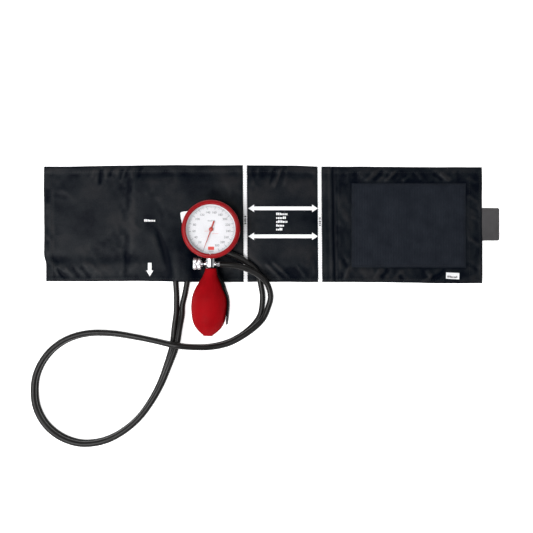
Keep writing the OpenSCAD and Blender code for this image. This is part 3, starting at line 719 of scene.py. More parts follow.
def bulb():
    """Rubber bulb, with a moulded mouth bead, a foot ring and a faint mould line."""
    mouth_y, bulb_r = -47.6, 21.2
    outline = [(6.7, 0), (7.3, 3.5), (8.5, 7.6), (10, 11.2), (12.1, 15), (14.2, 18.6),
               (16.2, 22.2), (17.9, 26), (19.2, 29.6), (20.1, 33.2), (20.8, 37), (bulb_r, 43),
               (bulb_r, 48), (20.9, 51.6), (20.6, 55.2), (19.9, 59), (19.2, 62.6), (18.1, 66.2),
               (16.5, 70), (14.1, 73.6), (10.9, 77.2), (7.6, 80.2), (6.2, 81.3)]
    profile = [(4.9, 0.6), (5.3, 0.1), (6.3, 0), *smooth_line(outline, 3), (5.6, 82.2), (5.3, 82.5),
               (5, 82.4), (5, 75), (4.9, 74)]

    def mould_line(a, r, z):
        """A thin ridge down both sides where the mould closes."""
        return 0.12 * math.exp(-(math.sin(a) / 0.018) ** 2) if r > 7.5 else 0

    sagged = Matrix.Translation((0.35 * MM, 0, 0)) @ Matrix.Scale(1.045, 4, (1, 0, 0))
    leaning = Matrix.Identity(4)
    leaning[0][2] = -0.9 / 50
    leaning[0][3] = 0.9 * MM
    body = revolve("bulb_skin", profile, along_axis(mouth_y) @ sagged @ leaning, 240, closed=False,
                   wave=mould_line, sharp=60)
    dress(body, "bulb_red", None, "bulb")
    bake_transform(body)


def end_valve():
    profile = [(1.3, 0), (4.3, 0), (4.7, 0.4), (4.7, 7.7), (4.4, 8.1), (3.2, 8.2), (2.9, 7.9),
               (2.6, 7.9), (2.6, 1.6), (1.3, 1.6)]
    dress(revolve("intake_body", profile, along_axis(-122), 64), "chrome", "root", "end_valve")


def spoon():
    """Finger spoon: a collar on the neck and a curved arm beside the bulb."""
    place, thick, spread = along_axis(-45.6), 1.8, 44
    line = smooth_line([(8.8, 0.4), (9.8, 3), (11.4, 8.4), (15.2, 15.4), (17.6, 20), (20, 27.3),
                        (22.6, 34.6), (23.9, 42), (24.1, 49.3), (23.4, 60.3), (22.6, 67.6), (22, 70)], 4)
    last = line[-1][1]
    shares = np.linspace(-1, 1, 15)
    points = []
    for r, z in line:
        r += 1.3 * ease(6, 26, z)
        near_tip = max(0, 1 - (last - z) / 7)
        hug = 13 * ease(4, 12, z) * ease(40, 24, z)
        half = (spread / 2 + hug) * math.sqrt(max(0.02, 1 - near_tip ** 2))
        for share in shares:
            edge = max(0, abs(share) - 0.75) / 0.25
            thin = thick / 2 * math.sqrt(max(0, 1 - edge ** 2)) + 0.05
            points += [(*polar(r - thick / 2 + side * thin, half * share), z) for side in (1, -1)]
    index = np.arange(len(points)).reshape(len(line), -1, 2)
    arm = sharpen(mesh_object("spoon_arm", points, shell(index), place), 50)
    profile = rounded([(6.08, 0.7), (7.9, 0.7), (7.9, 1.6), (6.08, 1.6)], 0.3, 3)
    ring = revolve("spoon_ring", profile, place)
    points = [(*polar(r, spread / 2 * (k / 4 - 1)), z) for z in (0.1, 1.5) for k in range(9)
              for r in (9, 7.5)]
    index = np.arange(len(points)).reshape(2, 9, 2)
    lug = sharpen(mesh_object("spoon_lug", points, shell(index), place), 40)
    dress(join("finger_spoon", [arm, ring, lug]), "spoon_black", "spoon", "spoon")


neck()
valve()
bulb()
end_valve()
spoon()


# ---- Cuff surface ----

def fold(u, v, u0, v0, u1, v1, width, height, lean=0):
    """A crease from one place to another that fades out at its ends; lean makes one flank
    steeper than the other."""
    long = math.hypot(u1 - u0, v1 - v0)
    du, dv = (u1 - u0) / long, (v1 - v0) / long
    along = (u - u0) * du + (v - v0) * dv
    across = ((v - v0) * du - (u - u0) * dv) / width
    ends = ease(-0.12 * long, 0.2 * long, along) * ease(1.12 * long, 0.8 * long, along)
    return height * ends * bell(across * (1 + lean * np.tanh(across)), 1)


# Creases: start u, v, end u, v, half width, height and lean
FOLDS = [
    # bladder edge crease, in two lengths
    (107, 132, 105, 88, 1.8, -0.8), (104, 60, 102, 6, 2.2, -0.8), (111, 130, 107, 10, 4.5, 0.5),
    # broad ridge along the lower edge, steep on its upper side
    (6, 17, 62, 19, 9, 1.5, 0.25), (50, 20, 126, 20, 8, 1.2, 0.25),
    # fold over the hose entry
    (132, 64, 150, 10, 6, 0.9, 0.2), (141, 64, 161, 6, 3.5, -1.3),
    # puckers under the upper hem
    (72, 139, 70, 120, 1.9, -1.7), (87, 141, 82, 130, 1.6, -0.9), (99, 140, 95, 126, 1.8, -1.2),
    (106, 141, 101, 127, 1.6, -1), (122, 141, 118, 128, 1.9, -0.9), (64, 140, 60, 128, 2.6, 0.7),
    (78, 141, 77, 126, 2.6, 0.8), (113, 141, 109, 127, 2.6, 0.7),
    # dark patches along the left hem
    (5, 116, 5, 96, 2.2, -0.9), (5, 84, 5, 58, 2, -0.7), (5, 52, 6, 38, 2, -0.8),
    (12.5, 128, 12.5, 34, 1.8, 0.6),
    # loose lower left corner
    (15, 16, 26, 4, 1.8, -1.1), (26, 17, 38, 4, 2.6, 0.8, 0.3), (36, 18, 44, 5, 1.8, -0.7),
    (46, 20, 58, 4, 2.2, -0.8), (60, 20, 74, 5, 3, 0.6, 0.3),
    # upper left corner
    (16, 118, 40, 98, 7, 0.7, 0.4), (12, 108, 30, 104, 3.5, -0.6),
    # middle section, upper and lower edge
    (296, 141, 286, 116, 2.2, 1.3, 0.3), (288, 141, 281, 121, 1.8, -1), (303, 141, 299, 118, 2.6, 0.7),
    (267, 141, 265, 126, 2.2, 0.7), (276, 22, 296, 3, 2, 1.4, 0.4), (284, 24, 306, 5, 2.2, 1.1, 0.4),
    (268, 14, 280, 3, 1.8, 0.9), (314, 20, 326, 5, 2.2, 0.6),
    # closure end, upper border
    (409, 124, 421, 136, 2.6, -1.3), (400, 124, 412, 136, 3.2, 1.2, 0.3),
    (424, 124, 436, 136, 2.6, 1.2, 0.3), (431, 126, 440, 134, 2, -1), (445, 124, 455, 133, 2.8, 1, 0.3),
    (462, 136, 470, 125, 2.4, 0.8), (483, 134, 496, 125, 2.6, -1.2), (491, 135, 505, 124, 3, 1.1, 0.3),
    (514, 138, 514, 122, 2.4, -1), (385, 136, 390, 118, 4, -0.8), (376, 138, 379, 122, 3, 0.6),
    # closure end, lower border
    (373, 3, 381, 20, 3.2, 1.2, 0.3), (372, 27, 376, 17, 3, -0.9), (411, 4, 418, 17, 3, 1, 0.3),
    (419, 5, 428, 16, 2.6, -1.3), (434, 4, 446, 14, 2.8, 0.8), (441, 9, 447, 3, 2.4, -0.9),
    (474, 14, 482, 8, 2.2, 1.1, 0.3), (480, 3, 500, 15, 2.4, -1.4), (469, 2, 481, 8, 2.4, 1.1, 0.3),
    (516, 4, 536, 7, 4, 1.1, 0.3), (494, 3, 508, 4, 2.2, 0.7),
    # closure end, right border
    (526, 106, 539, 97, 2, 1, 0.3), (528, 52, 541, 44, 2, 1, 0.3), (530, 80, 541, 74, 1.8, 0.6),
    (524, 22, 540, 14, 2.4, -0.9), (524, 128, 538, 120, 2, 0.7), (529, 92, 540, 86, 2, -0.8),
]

# Soft hollows and swellings: u, v, radius along u, radius along v, height
SWELLS = [
    (20, 28, 13, 6, -0.9), (80, 27, 12, 9, -0.8), (107, 29, 7, 10, -0.8), (30, 96, 14, 14, -0.5),
    (62, 88, 30, 24, 0.7), (66, 54, 30, 20, 0.4), (128, 100, 20, 26, 0.6), (60, 12, 50, 8, 0.6),
    (150, 10, 60, 7, 0.5), (232, 108, 16, 26, 0.6), (292, 74, 34, 34, 0.5), (300, 30, 26, 14, 0.3),
    (264, 104, 12, 20, 0.4), (384, 132, 20, 7, 0.5), (506, 70, 14, 50, 0.4), (372, 70, 6, 50, 0.2),
]

HEM_LEFT, HEM_RIGHT, HEM_TOP, HEM_BOTTOM = 11.5, 5, 9, 5.5
TAPE_A, TAPE_B = 250, 342.5
HOOK_U0, HOOK_U1, HOOK_V0, HOOK_V1 = cuff_box("hook_patch")
GAUGE_U = DIAL_AXIS[0] / MM - CUFF_X
GAUGE_V = DIAL_AXIS[1] / MM - CUFF_Y
PORT_U = (PORT_GAUGE[0][0] + PORT_PUMP[1][0]) / 2 - CUFF_X
HUMP_Z = 9.4
UNDER_SIDE = 9
CLOTH_STEP = 4
CLOTH_RISE = []


def inside(u, v):
    """Distance from the nearest edge of the cuff."""
    return np.minimum.reduce([u, CUFF_L - u, v, CUFF_W - v])


def edge_wander(t, seed):
    """How far an edge strays from a straight line."""
    return (0.55 * np.sin(t / 37 + seed) + 0.35 * np.sin(t / 14.3 + 2.1 * seed)
            + 0.2 * np.sin(t / 6.1 + 3.7 * seed))


def outline_shift(u, v):
    """Moves the straight cuff outline to its slightly uneven sewn outline."""
    dx = (bell(u, 22) * (2.4 * ease(33, 20, v) + 0.35 * edge_wander(v, 1.3))
          - bell(CUFF_L - u, 22) * 0.5 * edge_wander(v, 4.2))
    high = 1.7 * ease(0, 130, u) - 1.7 * ease(300, 350, u) - 0.6 * ease(390, 430, u)
    low = 0.5 * ease(60, 130, u) - 1.3 * ease(130, 190, u) - 1.7 * ease(400, 500, u)
    dy = (bell(v, 16) * (0.3 * edge_wander(u, 0.4) - 0.6 + low)
          + bell(CUFF_W - v, 16) * (0.1 - 0.3 * edge_wander(u, 5.9) + high))
    return dx, dy


def relief(u, v):
    """Height that the cloth simulation found, between its grid points."""
    if not CLOTH_RISE:
        return 0 * u
    grid = CLOTH_RISE[0]
    a = np.clip(u / CLOTH_STEP, 0, grid.shape[0] - 1.001)
    b = np.clip(v / CLOTH_STEP, 0, grid.shape[1] - 1.001)
    i, j = a.astype(int), b.astype(int)
    s, t = a - i, b - j
    return ((1 - s) * ((1 - t) * grid[i, j] + t * grid[i, j + 1])
            + s * ((1 - t) * grid[i + 1, j] + t * grid[i + 1, j + 1]))


def pressed(u, v):
    """0 where the gauge and the lower hose lie on the cuff, 1 where it is free to rise."""
    keep = np.ones_like(u)
    for x, y, z in np.array(GAUGE_LINE[::3]) / MM:
        if y > CUFF_Y - 6:
            keep = np.minimum(keep, ease(2.5, 9, np.hypot(u - (x - CUFF_X), v - (y - CUFF_Y))))
    return ease(26, 40, np.hypot(u - GAUGE_U, v - GAUGE_V)) * keep


def port_hump(u, v):
    """The panel rises in one soft swell over the two hoses that enter at the lower edge."""
    return np.exp(-(np.abs(u - PORT_U) / 15) ** 3) * ease(72, 31, v)


def edged(z, u, v):
    """Rounds a face of height z off towards the cuff's outer edge."""
    middle = 1.25 + 0.6 * port_hump(u, v)
    return middle + (z - middle) * bow(inside(u, v), 1.7)


def top_z(u, v):
    """Height of the cuff's upper face over the table."""
    free = pressed(u, v)
    bladder = (ease(100, 116, u) * ease(342, 326, u) * ease(8, 22, v)
               * ease(CUFF_W - 8, CUFF_W - 22, v))
    z = 3.25 + 0.9 * bladder * free
    for fu, fv, ru, rv, height in SWELLS:
        z = z + height * bell(u - fu, ru) * bell(v - fv, rv) * free
    for line in FOLDS:
        z = z + 0.6 * fold(u, v, *line) * free
    hook = (ease(HOOK_U0 - 3, HOOK_U0, u) * ease(HOOK_U1 + 3, HOOK_U1, u)
            * ease(HOOK_V0 - 3, HOOK_V0, v) * ease(HOOK_V1 + 3, HOOK_V1, v))
    strip = ease(TAPE_B, TAPE_B + 3, u) * ease(SEAM_U + 1, SEAM_U - 2, u)
    z = z + 0.22 * relief(u, v) * free * (1 - 0.85 * hook) * (1 - 0.8 * strip)
    z = z + 0.06 * strip * np.sin(2 * np.pi * v / 2.2)
    # hems: a thicker folded band all round, with a stitched groove along its inner edge
    for distance, width in ((u, HEM_LEFT), (CUFF_L - u, HEM_RIGHT), (CUFF_W - v, HEM_TOP),
                            (v, HEM_BOTTOM)):
        z = z + 0.4 * ease(width + 1.6, width - 0.8, distance)
        z = z - 0.25 * bell(distance - width + 0.4, 1.3)
    border = np.maximum.reduce([HOOK_U0 - u, u - HOOK_U1, HOOK_V0 - v, v - HOOK_V1])
    z = z - 0.35 * bell(border - 1, 1.1)
    z = z - 0.5 * bell(u - TAPE_A, 4.5) - 0.5 * bell(u - TAPE_B, 4.5)
    seam = u - SEAM_U - 3 * (0.5 - v / CUFF_W)
    z = z - 1.3 * bell(seam, 1.2) + 0.4 * bell(seam + 3, 2)
    most = 3.5 + 2.6 * free
    z = np.where(z > most, most + 0.4 * np.tanh((z - most) / 0.4), z)
    z = np.maximum(z, 1.9)
    return edged(z + (HUMP_Z - z) * port_hump(u, v), u, v)


def bottom_z(u, v):
    """Height of the cuff's lower face, flat on the table."""
    ripple = 0.15 + 0.07 * np.sin(u / 23 + 1) * np.sin(v / 17)
    return edged(ripple + 0.25 * bell(u - SEAM_U, 1.2), u, v)


def on_cuff(u, v, lift=0, under=False):
    """Places on the cuff's upper or lower face."""
    u, v = np.asarray(u, float), np.asarray(v, float)
    dx, dy = outline_shift(u, v)
    z = bottom_z(u, v) - lift if under else top_z(u, v) + lift
    return np.stack([CUFF_X + u + dx, CUFF_Y + v + dy, z], -1)


def store_depth(mesh, weave):
    """How far each place of the upper face lies over its surroundings, in millimetres, less a patch
    of painted shade by the hoses, where the cloth is made to count as lying deeper."""
    u, v, face = weave.T
    reach = 6
    around = sum(top_z(np.clip(u + a * reach, 2, CUFF_L - 2), np.clip(v + b * reach, 2, CUFF_W - 2))
                 for a, b in ((1, 0), (-1, 0), (0, 1), (0, -1))) / 4
    # Painted shade: a broad patch by the hose entry, which the nylon's colour darkens.
    hose_entry_shade = 0.8 * bell(u - PORT_U, 26) * bell(v - 34, 32)
    rise = np.clip(top_z(u, v) - around - hose_entry_shade, -1, 1) * (face < UNDER_SIDE)
    attribute = mesh.attributes.new("depth", "FLOAT", "POINT")
    attribute.data.foreach_set("value", rise.astype(np.float32))


def grid_lines(length, step, edge=(0, 0.15, 0.4, 0.8, 1.3, 1.9)):
    """Places along one side: close together at both edges, evenly spaced between."""
    count = int(round((length - 2 * edge[-1]) / step))
    middle = np.linspace(edge[-1], length - edge[-1], count + 1)
    return np.concatenate([edge[:-1], middle, [length - e for e in reversed(edge[:-1])]])



def pad(name, us, vs, place):
    """A closed pad over the grid us by vs: place(u, v, under) gives its points."""
    uu, vv = np.meshgrid(us, vs, indexing="ij")
    points = np.concatenate([place(uu, vv, under).reshape(-1, 3) for under in (False, True)])
    weave = np.concatenate([np.stack([uu, vv, 0 * uu + face], -1).reshape(-1, 3)
                            for face in (0, UNDER_SIDE)])
    index = np.arange(uu.size).reshape(uu.shape)
    under = index + uu.size
    for rim in np.s_[0, :], np.s_[-1, :], np.s_[:, 0], np.s_[:, -1]:
        under[rim] = index[rim]
    faces = np.array(quads(index) + quads(under, True))
    used, faces = np.unique(faces, return_inverse=True)
    faces = faces.reshape(-1, 4).tolist()
    return mesh_object(name, points[used], faces, weave=weave[used])


def simulate_relief():
    """Lets a thin padded sheet swell between its seams, and keeps its upper face's height."""
    us = np.arange(0, CUFF_L + CLOTH_STEP / 2, CLOTH_STEP)
    vs = np.arange(0, CUFF_W + CLOTH_STEP / 2, CLOTH_STEP)
    half_z, frames, limit = 0.9, 26, 1.3

    def flat(u, v, under):
        z = np.where(under, 0.4, 2.6) + 0.12 * np.sin(u * 1.7 + v * 2.3) * np.cos(u * 0.9 - v)
        edge = inside(np.clip(u, 0, CUFF_L), np.clip(v, 0, CUFF_W)) < CLOTH_STEP * 0.6
        return np.stack([u, v, np.where(edge, 1.3, z)], -1)

    obj = pad("relief", us, vs, flat)
    points = np.array([p.co for p in obj.data.vertices], float) / MM
    u, v, z = points.T
    held = (inside(u, v) < CLOTH_STEP * 0.6) | (np.hypot(u - GAUGE_U, v - GAUGE_V) < 27)
    for at in (TAPE_A, TAPE_B, SEAM_U, 104):
        held |= np.abs(u - at) < CLOTH_STEP * 0.55
    held |= (u > HOOK_U0) & (u < HOOK_U1) & (v > HOOK_V0) & (v < HOOK_V1)
    held |= z < half_z
    group = obj.vertex_groups.new(name="held")
    group.add(np.nonzero(held)[0].tolist(), 1, "REPLACE")
    cloth = obj.modifiers.new("cloth", "CLOTH")
    for key, value in dict(quality=6, mass=0.12, tension_stiffness=18, compression_stiffness=18,
                           shear_stiffness=6, bending_stiffness=0.4, use_pressure=True,
                           uniform_pressure_force=1.6, shrink_min=-0.035,
                           vertex_group_mass="held").items():
        setattr(cloth.settings, key, value)
    cloth.settings.effector_weights.gravity = 0
    cloth.collision_settings.use_collision = False
    cloth.collision_settings.use_self_collision = False
    for range_of in (SCENE, cloth.point_cache):
        range_of.frame_start, range_of.frame_end = 1, frames
    for moment in range(1, frames + 1):
        SCENE.frame_set(moment)
    result = obj.evaluated_get(bpy.context.evaluated_depsgraph_get()).to_mesh()
    after = np.empty(points.size)
    result.vertices.foreach_get("co", after)
    rise = after.reshape(-1, 3)[:, 2] / MM - z
    grid = np.zeros((len(us), len(vs)))
    upper = z > half_z
    i, j = np.rint(points[upper, :2] / CLOTH_STEP).astype(int).T
    grid[i, j] = rise[upper]
    CLOTH_RISE.append(limit * np.tanh(grid / limit))
    bpy.data.objects.remove(obj)
    SCENE.frame_set(1)


simulate_relief()


# ---- Cuff pieces ----

def cuff():
    obj = pad("cuff_fabric", grid_lines(CUFF_L, 1.35), grid_lines(CUFF_W, 1.35),
              lambda u, v, under: on_cuff(u, v, 0, under))
    weave = np.array([p.vector for p in obj.data.attributes["weave"].data], float)
    store_depth(obj.data, weave)
    dress(obj, "nylon_dark", None, "inner_panel", "outer_panel", "bladder",
          "closure_inner_panel", "closure_outer_panel")
    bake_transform(obj)


def patch(name, outline, thickness, lift=0.05, step=2.5, under=False):
    """A thin piece laid on the cuff: outline is a polygon of (u, v) points."""
    bm = bmesh.new()
    bm.faces.new([bm.verts.new((a, b, 0)) for a, b in outline])
    for axis in (0, 1):
        way = np.eye(3)[axis]
        values = [p[axis] for p in outline]
        for k in range(math.ceil(min(values) / step), math.ceil(max(values) / step)):
            if k * step > min(values) + 1e-6:
                bmesh.ops.bisect_plane(bm, geom=bm.verts[:] + bm.edges[:] + bm.faces[:],
                                       dist=1e-6, plane_co=way * (k * step), plane_no=way)
    bmesh.ops.recalc_face_normals(bm, faces=bm.faces)
    if sum(f.normal.z for f in bm.faces) < 0:
        bmesh.ops.reverse_faces(bm, faces=bm.faces)
    bm.verts.index_update()
    u, v, _ = np.array([p.co for p in bm.verts]).T
    count = len(u)
    faces = []
    for face in bm.faces:
        ring = [p.index for p in face.verts]
        faces += [ring, [i + count for i in reversed(ring)]]
        for loop in face.loops:
            if loop.edge.is_boundary:
                a, b = loop.vert.index, loop.link_loop_next.vert.index
                faces.append([b, a, a + count, b + count])
    bm.free()
    if under:
        faces = [f[::-1] for f in faces]
    points = [on_cuff(u, v, high, under) for high in (lift + thickness, lift - 0.12)]
    weave = np.tile(np.stack([u, v, np.full(count, 3)], -1), (2, 1))
    return sharpen(mesh_object(name, np.concatenate(points), faces, weave=weave), 50)


def rectangle(u0, u1, v0, v1, corner, turn=0, steps=4):
    """A rectangle's outline with round corners, turned about its middle."""
    points = []
    for cu, cv, start in ((u1 - corner, v1 - corner, 0), (u0 + corner, v1 - corner, 90),
                          (u0 + corner, v0 + corner, 180), (u1 - corner, v0 + corner, 270)):
        for k in range(steps + 1):
            x, y = polar(corner, start + 90 * k / steps)
            points.append((cu + x, cv + y))
    return turned(points, (u0 + u1) / 2, (v0 + v1) / 2, turn)


def tape_shift(v):
    """The tapes and their seams lean a little: their lower ends lie further right."""
    return 1 * (0.5 - v / CUFF_W)


def index_tape(name, node, at):
    """A white ribbon across the cuff, folded around both edges."""
    half, turn_in = 2.5, 0.35
    across = np.array([(-half, 0.05), (-half + 0.25, 0.32), (-half / 2, 0.36), (0, 0.36),
                       (half / 2, 0.36), (half - 0.25, 0.32), (half, 0.05)])
    vv, du = np.meshgrid(np.linspace(0.25, CUFF_W - 0.25, 110), across[:, 0], indexing="ij")
    points = on_cuff(at + du + tape_shift(vv), vv, across[:, 1])
    points = np.concatenate([points[:1] - [0, turn_in, 1.2], points, points[-1:] + [0, turn_in, -1.2]])
    index = np.arange(points.size // 3).reshape(points.shape[:2])
    points = points.reshape(-1, 3)
    obj = mesh_object(name, points, quads(index, True), weave=points)
    solid = obj.modifiers.new("thickness", "SOLIDIFY")
    solid.thickness = 0.25 * MM
    solid.offset = -1
    bpy.context.view_layer.objects.active = obj
    bpy.ops.object.modifier_apply(modifier=solid.name)
    dress(obj, "tape_white", "root", node)


def arrow(name, outline):
    dress(patch(name, outline, 0.06, 0.04), "print_white", slot="tape_white")


def double_arrow(name, v, u0, u1):
    head, half_head, half_shaft = 7.3, 4.6, 2.3
    lower = [(u0, v), (u0 + head, v - half_head), (u0 + head, v - half_shaft),
             (u1 - head, v - half_shaft), (u1 - head, v - half_head)]
    arrow(name, lower + [(u0 + u1 - a, 2 * v - b) for a, b in lower])


def down_arrow():
    u, top, tip, neck_v = 131.6, 22.6, 6.2, 13.2
    half_shaft, half_head = 2.25, 4.3
    left = [(u - half_shaft, top), (u - half_shaft, neck_v), (u - half_head, neck_v)]
    arrow("artery_arrow", left + [(u, tip)] + [(2 * u - a, b) for a, b in reversed(left)])


def greeked(name, u, v, rows, line, size, look, slot, body="root", turn=0, lift=0.04):
    """Stands in for small print: rows of plain upright bars where letters would be."""
    pieces = []
    for row, letters in enumerate(rows):
        for k in range(letters):
            tall = size * (1, 0.72, 0.74, 1, 0.7, 0.73, 0.95)[(3 * k + 2 * row) % 7]
            wide = size * (0.52, 0.44, 0.5)[(k + row) % 3]
            low, left = v - row * line, u + k * size * 0.66
            outline = rectangle(left, left + wide, low, low + tall, size * 0.12, 0, 1)
            pieces.append(patch(f"{name}_{row}_{k}", turned(outline, u, v, turn), 0.05, lift))
    dress(join(name, pieces), look, body, slot=slot)


def labels():
    outline = rectangle(170.2, 196.2, 72.2, 87.4, 2.5, 9)
    dress(patch("size_label_cloth", outline, 0.22, 0.03), "label_white", "root", "size_label")
    outline = rectangle(498.8, 515.2, 5.2, 12, 0.5, -2)
    dress(patch("lot_label_cloth", outline, 0.2, 0.03), "label_white", "closure", "lot_label")
    greeked("lot_label_marks", 500.4, 6.6, [8], 2.6, 2.4, "print_black", "label_white", "closure",
            -2, 0.26)


def hook_patch():
    """Hook tape: ribs across the cuff, a sunk stitched border and cut edges."""
    us = grid_lines(HOOK_U1 - HOOK_U0, 0.5, (0, 0.2, 0.5))
    vs = grid_lines(HOOK_V1 - HOOK_V0, 2.6, (0, 0.2, 0.6, 1.4))

    def place(a, b, under):
        d = np.minimum.reduce([a, us[-1] - a, b, vs[-1] - b])
        rib = np.abs(np.sin(np.pi * a / 2)) ** 0.7
        high = 0.55 + 0.35 * ease(2.2, 3.4, d) * rib - 0.15 * bell(d - 1.9, 0.5)
        return on_cuff(HOOK_U0 + a, HOOK_V0 + b, -0.15 if under else -0.05 + (high + 0.05) * bow(d, 0.5))

    dress(pad("hook_tape_patch", us, vs, place), "hook_tape", "closure", "hook_patch")


def pull_tab():
    """Grey tab sewn into the closure end, with a welded border and a shallow grip field."""
    u0, u1, v0, v1 = cuff_box("pull_tab")
    us = grid_lines(u1 - u0, 0.8, (0, 0.2, 0.5))
    vs = grid_lines(v1 - v0, 0.8, (0, 0.2, 0.5))
    corner, middle = 2.6, (v0 + v1) / 2

    def place(a, b, under):
        u, out = u0 + a, us[-1] - a
        pull = np.clip(1 - out / corner, 0, 1)
        round_off = corner * (1 - np.sqrt(np.clip(1 - pull ** 2, 0, 1)))
        v = middle + (v0 + b - middle) * (1 - round_off / ((v1 - v0) / 2))
        d = np.minimum.reduce([out, b, vs[-1] - b])
        crown = 0.25 * ease(2.6, 4.2, d) - 0.3 * bell(d - 2.3, 0.5)
        top = 2.55 + crown * ease(CUFF_L - 2, CUFF_L + 1, u)
        half = (top + 1.05) / 2
        z = half + ((1.05 if under else top) - half) * bow(d, 0.7) - 0.9 * ease(CUFF_L - 2, CUFF_L + 18, u)
        return np.stack([CUFF_X + u, CUFF_Y + v, z], -1)

    dress(pad("pull_tab_cloth", us, vs, place), "tab_grey", "closure", "pull_tab")


def loop_field():
    obj = patch("loop_pile", rectangle(*cuff_box("loop_field"), 4), 0.02, 0.05, 4, under=True)
    dress(obj, "loop_fabric", "root", "loop_field")


def stitches(name, path, body, pitch=3.2, long=2.3, thick=0.22, lift=0.1, slot="nylon_dark"):
    """A row of short thread stitches along a line of (u, v) points."""
    line = np.array(path, float)
    spans = np.hypot(*np.diff(line, axis=0).T)
    reach = np.concatenate([[0], np.cumsum(spans)])
    beads = np.array([0, 0.12, 0.35, 0.65, 0.88, 1])
    size = np.array([0.15, 0.75, 1, 1, 0.75, 0.15])
    at = np.arange(0.6, spans.sum() - long, pitch)[:, None] + beads * long
    u, v = np.interp(at, reach, line[:, 0]), np.interp(at, reach, line[:, 1])
    centre = on_cuff(u, v, lift)
    centre[..., 2] += 0.12 * np.sin(np.pi * beads)
    way = centre[:, -1] - centre[:, 0]
    way /= np.linalg.norm(way, axis=1, keepdims=True)
    side = np.cross([0, 0, 1], way)
    side /= np.linalg.norm(side, axis=1, keepdims=True)
    up = np.cross(way, side)
    turn = 2 * np.pi * np.arange(6)[:, None] / 6
    rim = side[:, None, None] * np.cos(turn) + up[:, None, None] * np.sin(turn) * 0.8
    points = centre[:, :, None] + rim * (size * thick)[:, None, None]
    weave = np.repeat(np.stack([u, v, 0 * u + 5], -1).reshape(-1, 3), 6, axis=0)
    faces = []
    for index in np.arange(points.size // 3).reshape(-1, 6, 6):
        faces += quads(np.pad(index, ((0, 0), (0, 1)), mode="wrap"), True)
        faces += [index[0, ::-1].tolist(), index[-1].tolist()]
    obj = mesh_object(name, points.reshape(-1, 3), faces, weave=weave)
    dress(obj, "thread_dark", body, slot=slot)


def sewing():
    ends = {"root": SEAM_U - 15, "closure": SEAM_U + 15}
    hem_u = {"root": HEM_LEFT - 1.6, "closure": CUFF_L - HEM_RIGHT + 1.4}
    edge_u = {"root": 2.6, "closure": CUFF_L - 2.4}
    rows = (("hem", hem_u, HEM_BOTTOM - 1.4, CUFF_W - HEM_TOP + 1.6, (3.2, 2.3, 0.22)),
            ("edge", edge_u, 2.2, CUFF_W - 2.2, (2.8, 2, 0.18)))
    for row, sides, low, high, sizes in rows:
        for body, far in sides.items():
            near = ends[body]
            path = [(near, high), (far, high), (far, low), (near, low)]
            stitches(f"{row}_thread_{body}", path, body, *sizes)
    inset = 1.9
    a, b, c, d = HOOK_U0 + inset, HOOK_U1 - inset, HOOK_V0 + inset, HOOK_V1 - inset
    corners = [np.array(p) for p in ((a, c), (b, c), (b, d), (a, d), (a, c))]
    zigzag = []
    for start, stop in zip(corners, corners[1:]):
        long = math.dist(start, stop)
        across = np.array([start[1] - stop[1], stop[0] - start[0]]) / long
        count = int(long / 1.6)
        zigzag += [start + (stop - start) * k / count + across * (0.55 if k % 2 else -0.55)
                   for k in range(count)]
    stitches("hook_thread", zigzag, "closure", 1.75, 1.65, 0.2, 0.62)
    second = HOOK_U1 + 4.2
    stitches("hook_line_thread", [(second, 6), (second, CUFF_W - 9)], "closure")
    for name, at in (("a", TAPE_A), ("b", TAPE_B)):
        for mark, side in (("left", -2.1), ("right", 2.1)):
            path = [(at + side + tape_shift(v), v) for v in np.linspace(3, CUFF_W - 3, 40)]
            stitches(f"tape_thread_{name}_{mark}", path, "root", 3, 2, 0.13, 0.42, "tape_white")


def tape_marks(name, at, middle):
    """Small dark marks halfway along a tape."""
    pieces = []
    for k, (long, wide) in enumerate(((1.6, 2.4), (1, 2), (1.8, 2.4), (1.2, 2.2), (1.5, 2.4))):
        v = middle + 5 - k * 2.2
        u = at + tape_shift(v)
        outline = rectangle(u - wide / 2, u + wide / 2, v - long / 2, v + long / 2, 0.3, 0, 2)
        pieces.append(patch(f"{name}_{k}", outline, 0.05, 0.37))
    dress(join(name, pieces), "print_black", slot="tape_white")


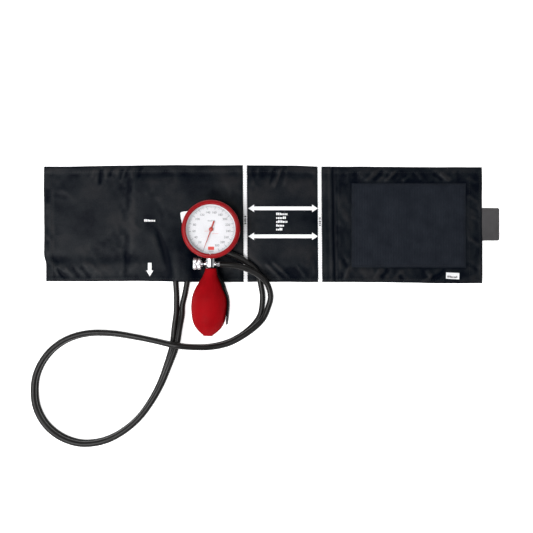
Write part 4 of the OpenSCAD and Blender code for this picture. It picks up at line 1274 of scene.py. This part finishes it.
cuff()
loop_field()
index_tape("index_ribbon_a", "index_tape_a", TAPE_A)
index_tape("index_ribbon_b", "index_tape_b", TAPE_B)
tape_marks("tape_marks_a", TAPE_A, 75)
tape_marks("tape_marks_b", TAPE_B, 73)
double_arrow("range_arrow_upper", 90, 253.6, 340)
double_arrow("range_arrow_lower", 55.4, 253.6, 340)
down_arrow()
greeked("range_print", 288.3, 81.6, [7, 6, 7, 5, 4], 4.75, 3.1, "print_white", "tape_white")
greeked("side_print", 124.8, 73.6, [7], 4, 3, "print_white", "tape_white")
labels()
hook_patch()
pull_tab()
sewing()


# ---- Floor, lights and world ----

def floor():
    half = 6000
    corners = [(-half, -half, 0), (half, -half, 0), (half, half, 0), (-half, half, 0)]
    obj = mesh_object("floor", corners, [(0, 1, 2, 3)])
    n = Nodes("floor")
    obj.data.materials.append(n.finish(
        Base_Color=(0.9, 0.9, 0.9, 1), Roughness=0.9, Specular_IOR_Level=0.1,
        Emission_Color=(1, 1, 1, 1), Emission_Strength=0.75))


def area_light(name, place, size, power):
    light = add(name, bpy.data.lights.new(name, "AREA"))
    light.data.shape = "DISK"
    light.data.size = size
    light.data.energy = power
    light.location = place
    light.rotation_euler = (-Vector(place)).to_track_quat("-Z", "Y").to_euler()


def world():
    """Pale at the horizon and dim overhead, and brighter on one side than on the other."""
    n = Nodes("studio", "worlds")
    SCENE.world = n.owner
    way = n.new("TexCoord").outputs["Generated"]
    height = n.new("SeparateXYZ", Vector=way).outputs["Z"]
    lean = n.new("VectorMath", way, (-0.86, -0.5, 0), operation="DOT_PRODUCT")
    side = n.new("MapRange", Value=lean.outputs["Value"], From_Min=-0.9, From_Max=0.9,
                 To_Min=0.35, To_Max=1.45)
    n.feed(n.tree.nodes["Background"], Strength=side.outputs["Result"],
           Color=n.ramp(height, (0, (1, 1, 1)), (0.85, (0.16, 0.165, 0.175))))


floor()
world()
area_light("key", (-0.66, -0.39, 1.4), 1.3, 32)
area_light("fill", (0.9, 0.6, 1.5), 1, 7)
SCENE.view_settings.view_transform = "Standard"
